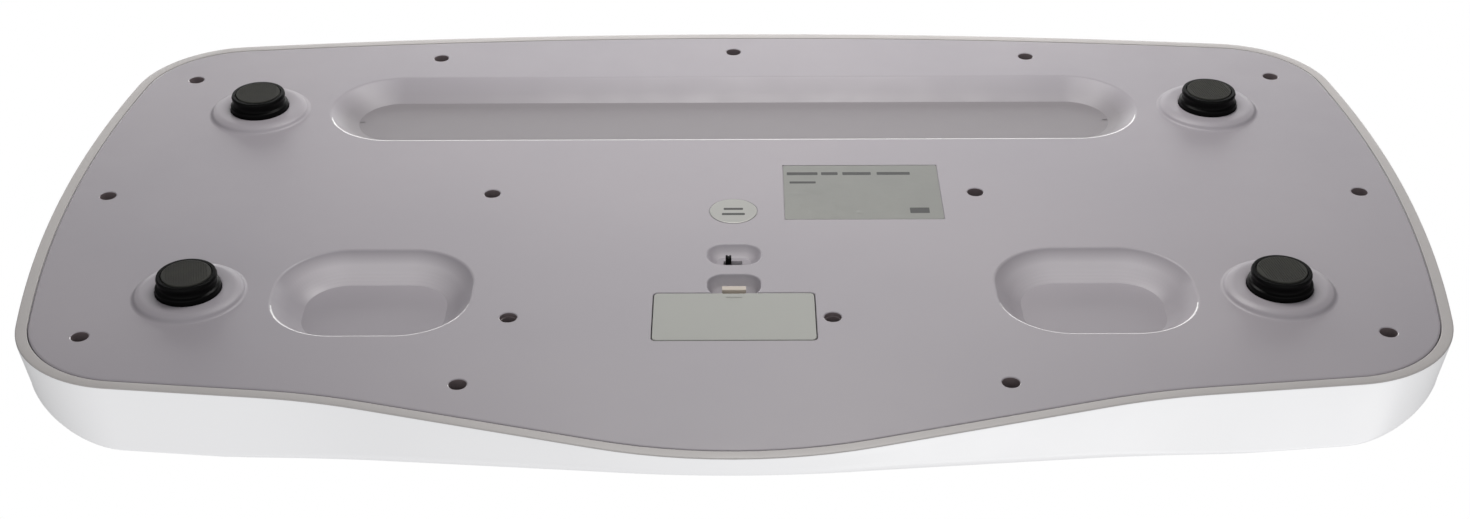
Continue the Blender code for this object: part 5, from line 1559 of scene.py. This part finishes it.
@dataclass
class SwitchLever(Assembly):
    """Ribbed lever of the unit switch."""

    rest_x: float = 2.2 * MM

    def build(self) -> None:
        """Shape the lever in its slot."""
        tip, root_low = 0.9 * MM, 6.9 * MM
        half = 1.15 * MM
        lever = soft_slab("lever", rounded_rectangle(2 * half, 2.0 * MM, 0.3 * MM), tip, root_low, 0.15 * MM)
        rootblock = box("root", (-half - 0.9 * MM, -1.3 * MM, 6.3 * MM), (half + 0.9 * MM, 1.3 * MM, 7.5 * MM))
        combine(lever, [rootblock], Cut.ADD)
        notch = box("notch", (-0.3 * MM, -2 * MM, 0.0), (0.3 * MM, 2 * MM, tip + 0.45 * MM))
        combine(lever, [notch], Cut.TAKE)
        moved(lifted(lever), Matrix.Translation((self.rest_x, SIZE.switch_y, 0.0)))
        polish(lever, 30.0)
        self.fit(lever, Body.SWITCH, Slot.BLACK, "slide_switch_lever")


@dataclass
class Labels(Assembly):
    """Silver rating label with plain printed bars, and a round sticker with two printed bars."""

    centre: Pair = (-53.4 * MM, 16.9 * MM)
    size: Pair = (65.0 * MM, 45.0 * MM)
    sticker: Pair = (0.2 * MM, 1.1 * MM)

    def build(self) -> None:
        """Shape the label, the sticker and their plain printing."""
        outline = rounded_rectangle(*self.size, 0.8 * MM, self.centre)
        label = lifted(slab("label", outline, 0.05 * MM, 0.20 * MM))
        self.fit(polish(label), Body.CASING, Slot.LABEL, "rating_label")
        disc = [(9.5 * MM, -0.15 * MM), (9.7 * MM, -0.08 * MM), (9.7 * MM, 0.0)]
        sticker = lifted(turned("sticker", disc, 96, self.sticker))
        self.fit(polish(sticker), Body.CASING, Slot.STICKER, "quality_sticker")
        bars = [self._bar(x, y, w, h) for x, y, w, h in self._bar_places()]
        printing = lifted(joined("label_bars", bars))
        printing.data.materials.append(self.finishes.print)
        self.fit(polish(printing), Body.CASING, Slot.BLACK)
        lines = [self._sticker_bar(y, width) for y, width in ((1.6, 8.0), (-2.6, 9.4))]
        marks = lifted(joined("sticker_bars", lines))
        marks.data.materials.append(self.finishes.print)
        self.fit(polish(marks), Body.CASING, Slot.BLACK)

    def _bar_places(self) -> list[tuple[float, float, float, float]]:
        """Middle and size of each printed bar, in millimetres from the label's middle."""
        words = ((24.5, 13.0), (13.0, 7.0), (1.5, 12.0), (-14.0, 14.0))
        title = [(x, 15.5, width, 2.4) for x, width in words]
        return title + [(24.5, 8.0, 11.0, 1.7), (-23.0, -15.5, 8.0, 4.4)]

    def _bar(self, x: float, y: float, width: float, height: float) -> bpy.types.Object:
        """One printed bar on the label."""
        centre = (self.centre[0] + x * MM, self.centre[1] + y * MM)
        outline = rounded_rectangle(width * MM, height * MM, 0.4 * MM, centre)
        return slab("bar", outline, 0.03 * MM, 0.06 * MM)

    def _sticker_bar(self, y: float, width: float) -> bpy.types.Object:
        """One printed bar on the sticker."""
        centre = (self.sticker[0], self.sticker[1] + y * MM)
        outline = rounded_rectangle(width * MM, 1.7 * MM, 0.5 * MM, centre)
        return slab("bar", outline, -0.17 * MM, -0.14 * MM)


# ---- display panel -------------------------------------------------------------------------------
@dataclass
class Panel(Assembly):
    """Window and buttons of the display panel."""

    proud: float = 0.9 * MM

    def build(self) -> None:
        """Shape the window and both buttons."""
        width, height, deep = SIZE.window
        outline = rounded_rectangle(width, height, 2.0 * MM)
        window = moved(soft_slab("window", outline, -0.1 * MM - deep, -0.1 * MM, 0.3 * MM), deck_frame())
        self.fit(polish(window), Body.CASING, Slot.WINDOW, "display_window")
        for side, body, name in ((1, Body.BUTTON_LEFT, "button_left"), (-1, Body.BUTTON_RIGHT, "button_right")):
            button = self._button(f"{name}_seen")
            moved(button, deck_frame() @ Matrix.Translation((side * SIZE.button_x, SIZE.button_up, 0.0)))
            self.fit(polish(button, 30.0), body, Slot.BUTTON, name)

    def _button(self, name: str) -> bpy.types.Object:
        """Round button with a dished top."""
        cap, stem, flange = SIZE.button_radius, -4.6 * MM, -SIZE.shell - 0.4 * MM
        corners = [(cap, flange), (cap, self.proud), (cap - 1.0 * MM, self.proud),
                   (cap - 2.2 * MM, self.proud - 0.25 * MM), (0.3 * MM, self.proud - 0.55 * MM)]
        profile = [(2.5 * MM, stem), (2.5 * MM, flange - 0.8 * MM), (cap + 1.1 * MM, flange - 0.8 * MM),
                   (cap + 1.1 * MM, flange)]
        profile += soft_profile(corners, [0.4 * MM, 0.3 * MM, 0.6 * MM], 5)
        return turned(name, profile, 64)


# ---- pieces kept from the frame ------------------------------------------------------------------
def dress_frame(finishes: Finishes) -> None:
    """Give every solid of the frame its finish.

    Args:
        finishes: the materials by slot.
    """
    slots = {part["node"]: Slot(part["material_slot"]) for part in frame["record"]["subparts"]}
    for name, node in frame["nodes"].items():
        node.data.materials.clear()
        node.data.materials.append(finishes.of(slots[name]))


# ---- stage ---------------------------------------------------------------------------------------
@dataclass(frozen=True)
class SoftLight:
    """A soft rectangular light and the point it faces."""

    name: str
    place: tuple[float, float, float]
    target: tuple[float, float, float]
    size: Pair
    power: float
    colour: Colour = (1.0, 1.0, 1.0)

    def add(self) -> None:
        """Add the light."""
        lamp = bpy.data.lights.new(self.name, "AREA")
        lamp.shape = "RECTANGLE"
        lamp.size, lamp.size_y = self.size
        lamp.energy = self.power
        lamp.color = self.colour
        holder = bpy.data.objects.new(self.name, lamp)
        holder.location = self.place
        facing = Vector(self.target) - Vector(self.place)
        holder.rotation_euler = facing.to_track_quat("-Z", "Y").to_euler()
        holder.visible_camera = False
        bpy.context.scene.collection.objects.link(holder)


@dataclass(frozen=True)
class Stage:
    """White surroundings, a pale floor under the feet, soft lights and the camera."""

    ambient: float = 0.16
    from_front: float = 1.15
    from_above: float = 0.60
    camera_place: tuple[float, float, float] = (-0.0004, -0.779486, -0.4459)
    camera_tilt: float = 31.508
    camera_roll: float = -0.00336
    focal: float = 2200.0
    image_width: float = 1470.0
    lights: tuple[SoftLight, ...] = (
        SoftLight("under_key", (-0.03, 0.20, -0.45), (-0.02, 0.10, 0.0), (0.34, 0.22), 1.9, (1.0, 0.985, 0.97)),
        SoftLight("far_backdrop", (0.0, 1.60, -0.35), (0.0, 0.0, 0.0), (2.4, 0.5), 11.0),
        SoftLight("upper_key", (-0.9, -0.7, 1.2), (0.0, 0.0, 0.03), (0.9, 0.9), 4.5),
    )

    def build(self) -> None:
        """Set up the surroundings, floor, lights and camera."""
        self._surroundings()
        self._floor()
        for light in self.lights:
            light.add()
        self._camera()
        bpy.context.scene.view_settings.view_transform = "Standard"

    def _surroundings(self) -> None:
        """White all round to the camera, and a soft gradient of light on the scale."""
        world = bpy.data.worlds.new("white_studio")
        world.use_nodes = True
        tree = world.node_tree
        nodes, links = tree.nodes, tree.links
        plain = nodes["Background"]
        plain.inputs["Color"].default_value = (1.0, 1.0, 1.0, 1.0)
        plain.inputs["Strength"].default_value = 1.0
        lit = nodes.new("ShaderNodeBackground")
        place = nodes.new("ShaderNodeTexCoord")
        split = nodes.new("ShaderNodeSeparateXYZ")
        path = nodes.new("ShaderNodeLightPath")
        mix = nodes.new("ShaderNodeMixShader")
        links.new(place.outputs["Generated"], split.inputs[0])
        total: bpy.types.NodeSocket | float = self.ambient
        for axis, share in (("Y", -self.from_front), ("Z", self.from_above)):
            scaled = nodes.new("ShaderNodeMath")
            scaled.operation = "MULTIPLY"
            scaled.inputs[1].default_value = share
            links.new(split.outputs[axis], scaled.inputs[0])
            kept = nodes.new("ShaderNodeMath")
            kept.operation = "MAXIMUM"
            kept.inputs[1].default_value = 0.0
            links.new(scaled.outputs[0], kept.inputs[0])
            added = nodes.new("ShaderNodeMath")
            links.new(kept.outputs[0], added.inputs[0])
            if isinstance(total, float):
                added.inputs[1].default_value = total
            else:
                links.new(total, added.inputs[1])
            total = added.outputs[0]
        links.new(total, lit.inputs["Strength"])
        links.new(path.outputs["Is Camera Ray"], mix.inputs["Fac"])
        links.new(lit.outputs[0], mix.inputs[1])
        links.new(plain.outputs[0], mix.inputs[2])
        links.new(mix.outputs[0], nodes["World Output"].inputs["Surface"])
        bpy.context.scene.world = world

    @staticmethod
    def _floor() -> None:
        """Pale floor that shows only from above."""
        mesh = bpy.data.meshes.new("floor")
        half = 6.0
        mesh.from_pydata([(-half, -half, 0.0), (half, -half, 0.0), (half, half, 0.0), (-half, half, 0.0)], [],
                         [(0, 1, 2, 3)])
        floor = bpy.data.objects.new("floor", mesh)
        bpy.context.scene.collection.objects.link(floor)
        shader = Shader("pale_floor")
        cloud = shader.effect("mottle", Scale=3.0, Contrast=1.0).outputs["Mask"]
        shader.link(shader.blend(cloud, (0.86, 0.86, 0.86), (0.84, 0.84, 0.845)), shader.surface.inputs["Base Color"])
        shader.value(Roughness=0.8, Specular_IOR_Level=0.1)
        side = shader.node("NewGeometry")
        clear = shader.node("BsdfTransparent")
        mix = shader.node("MixShader")
        shader.link(side.outputs["Backfacing"], mix.inputs["Fac"])
        shader.link(shader.surface.outputs[0], mix.inputs[1])
        shader.link(clear.outputs[0], mix.inputs[2])
        shader.link(mix.outputs[0], shader.tree.nodes["Material Output"].inputs["Surface"])
        mesh.materials.append(shader.made)
        for ray in ("diffuse", "glossy", "transmission", "volume_scatter", "shadow"):
            setattr(floor, f"visible_{ray}", False)

    def _camera(self) -> None:
        """Camera that looks at the underside of the scale."""
        tilt = math.radians(self.camera_tilt)
        forward = Vector((0.0, math.cos(tilt), math.sin(tilt)))
        right = Vector((-1.0, 0.0, 0.0))
        upward = Vector((0.0, math.sin(tilt), -math.cos(tilt)))
        cos, sin = math.cos(self.camera_roll), math.sin(self.camera_roll)
        across, up = right * cos + upward * sin, upward * cos - right * sin
        lens = bpy.data.cameras.new("camera")
        lens.sensor_width = 36.0
        lens.lens = self.focal * lens.sensor_width / self.image_width
        lens.clip_start = 0.01
        holder = bpy.data.objects.new("camera", lens)
        turn = Matrix((across, up, -forward)).transposed().to_4x4()
        holder.matrix_world = Matrix.Translation(self.camera_place) @ turn
        bpy.context.scene.collection.objects.link(holder)
        bpy.context.scene.camera = holder


def main() -> None:
    """Build the scale's looks piece by piece."""
    logging.basicConfig(level=logging.INFO)
    finishes = Finishes()
    dress_frame(finishes)
    for kind in (Tray, Cover, Door, Feet, Fasteners, SwitchLever, Labels, Panel):
        assembly = kind(finishes)
        assembly.build()
        LOG.info("%s: %d pieces", kind.__name__, len(assembly.pieces))
    Stage().build()


if __name__ == "__main__":
    main()
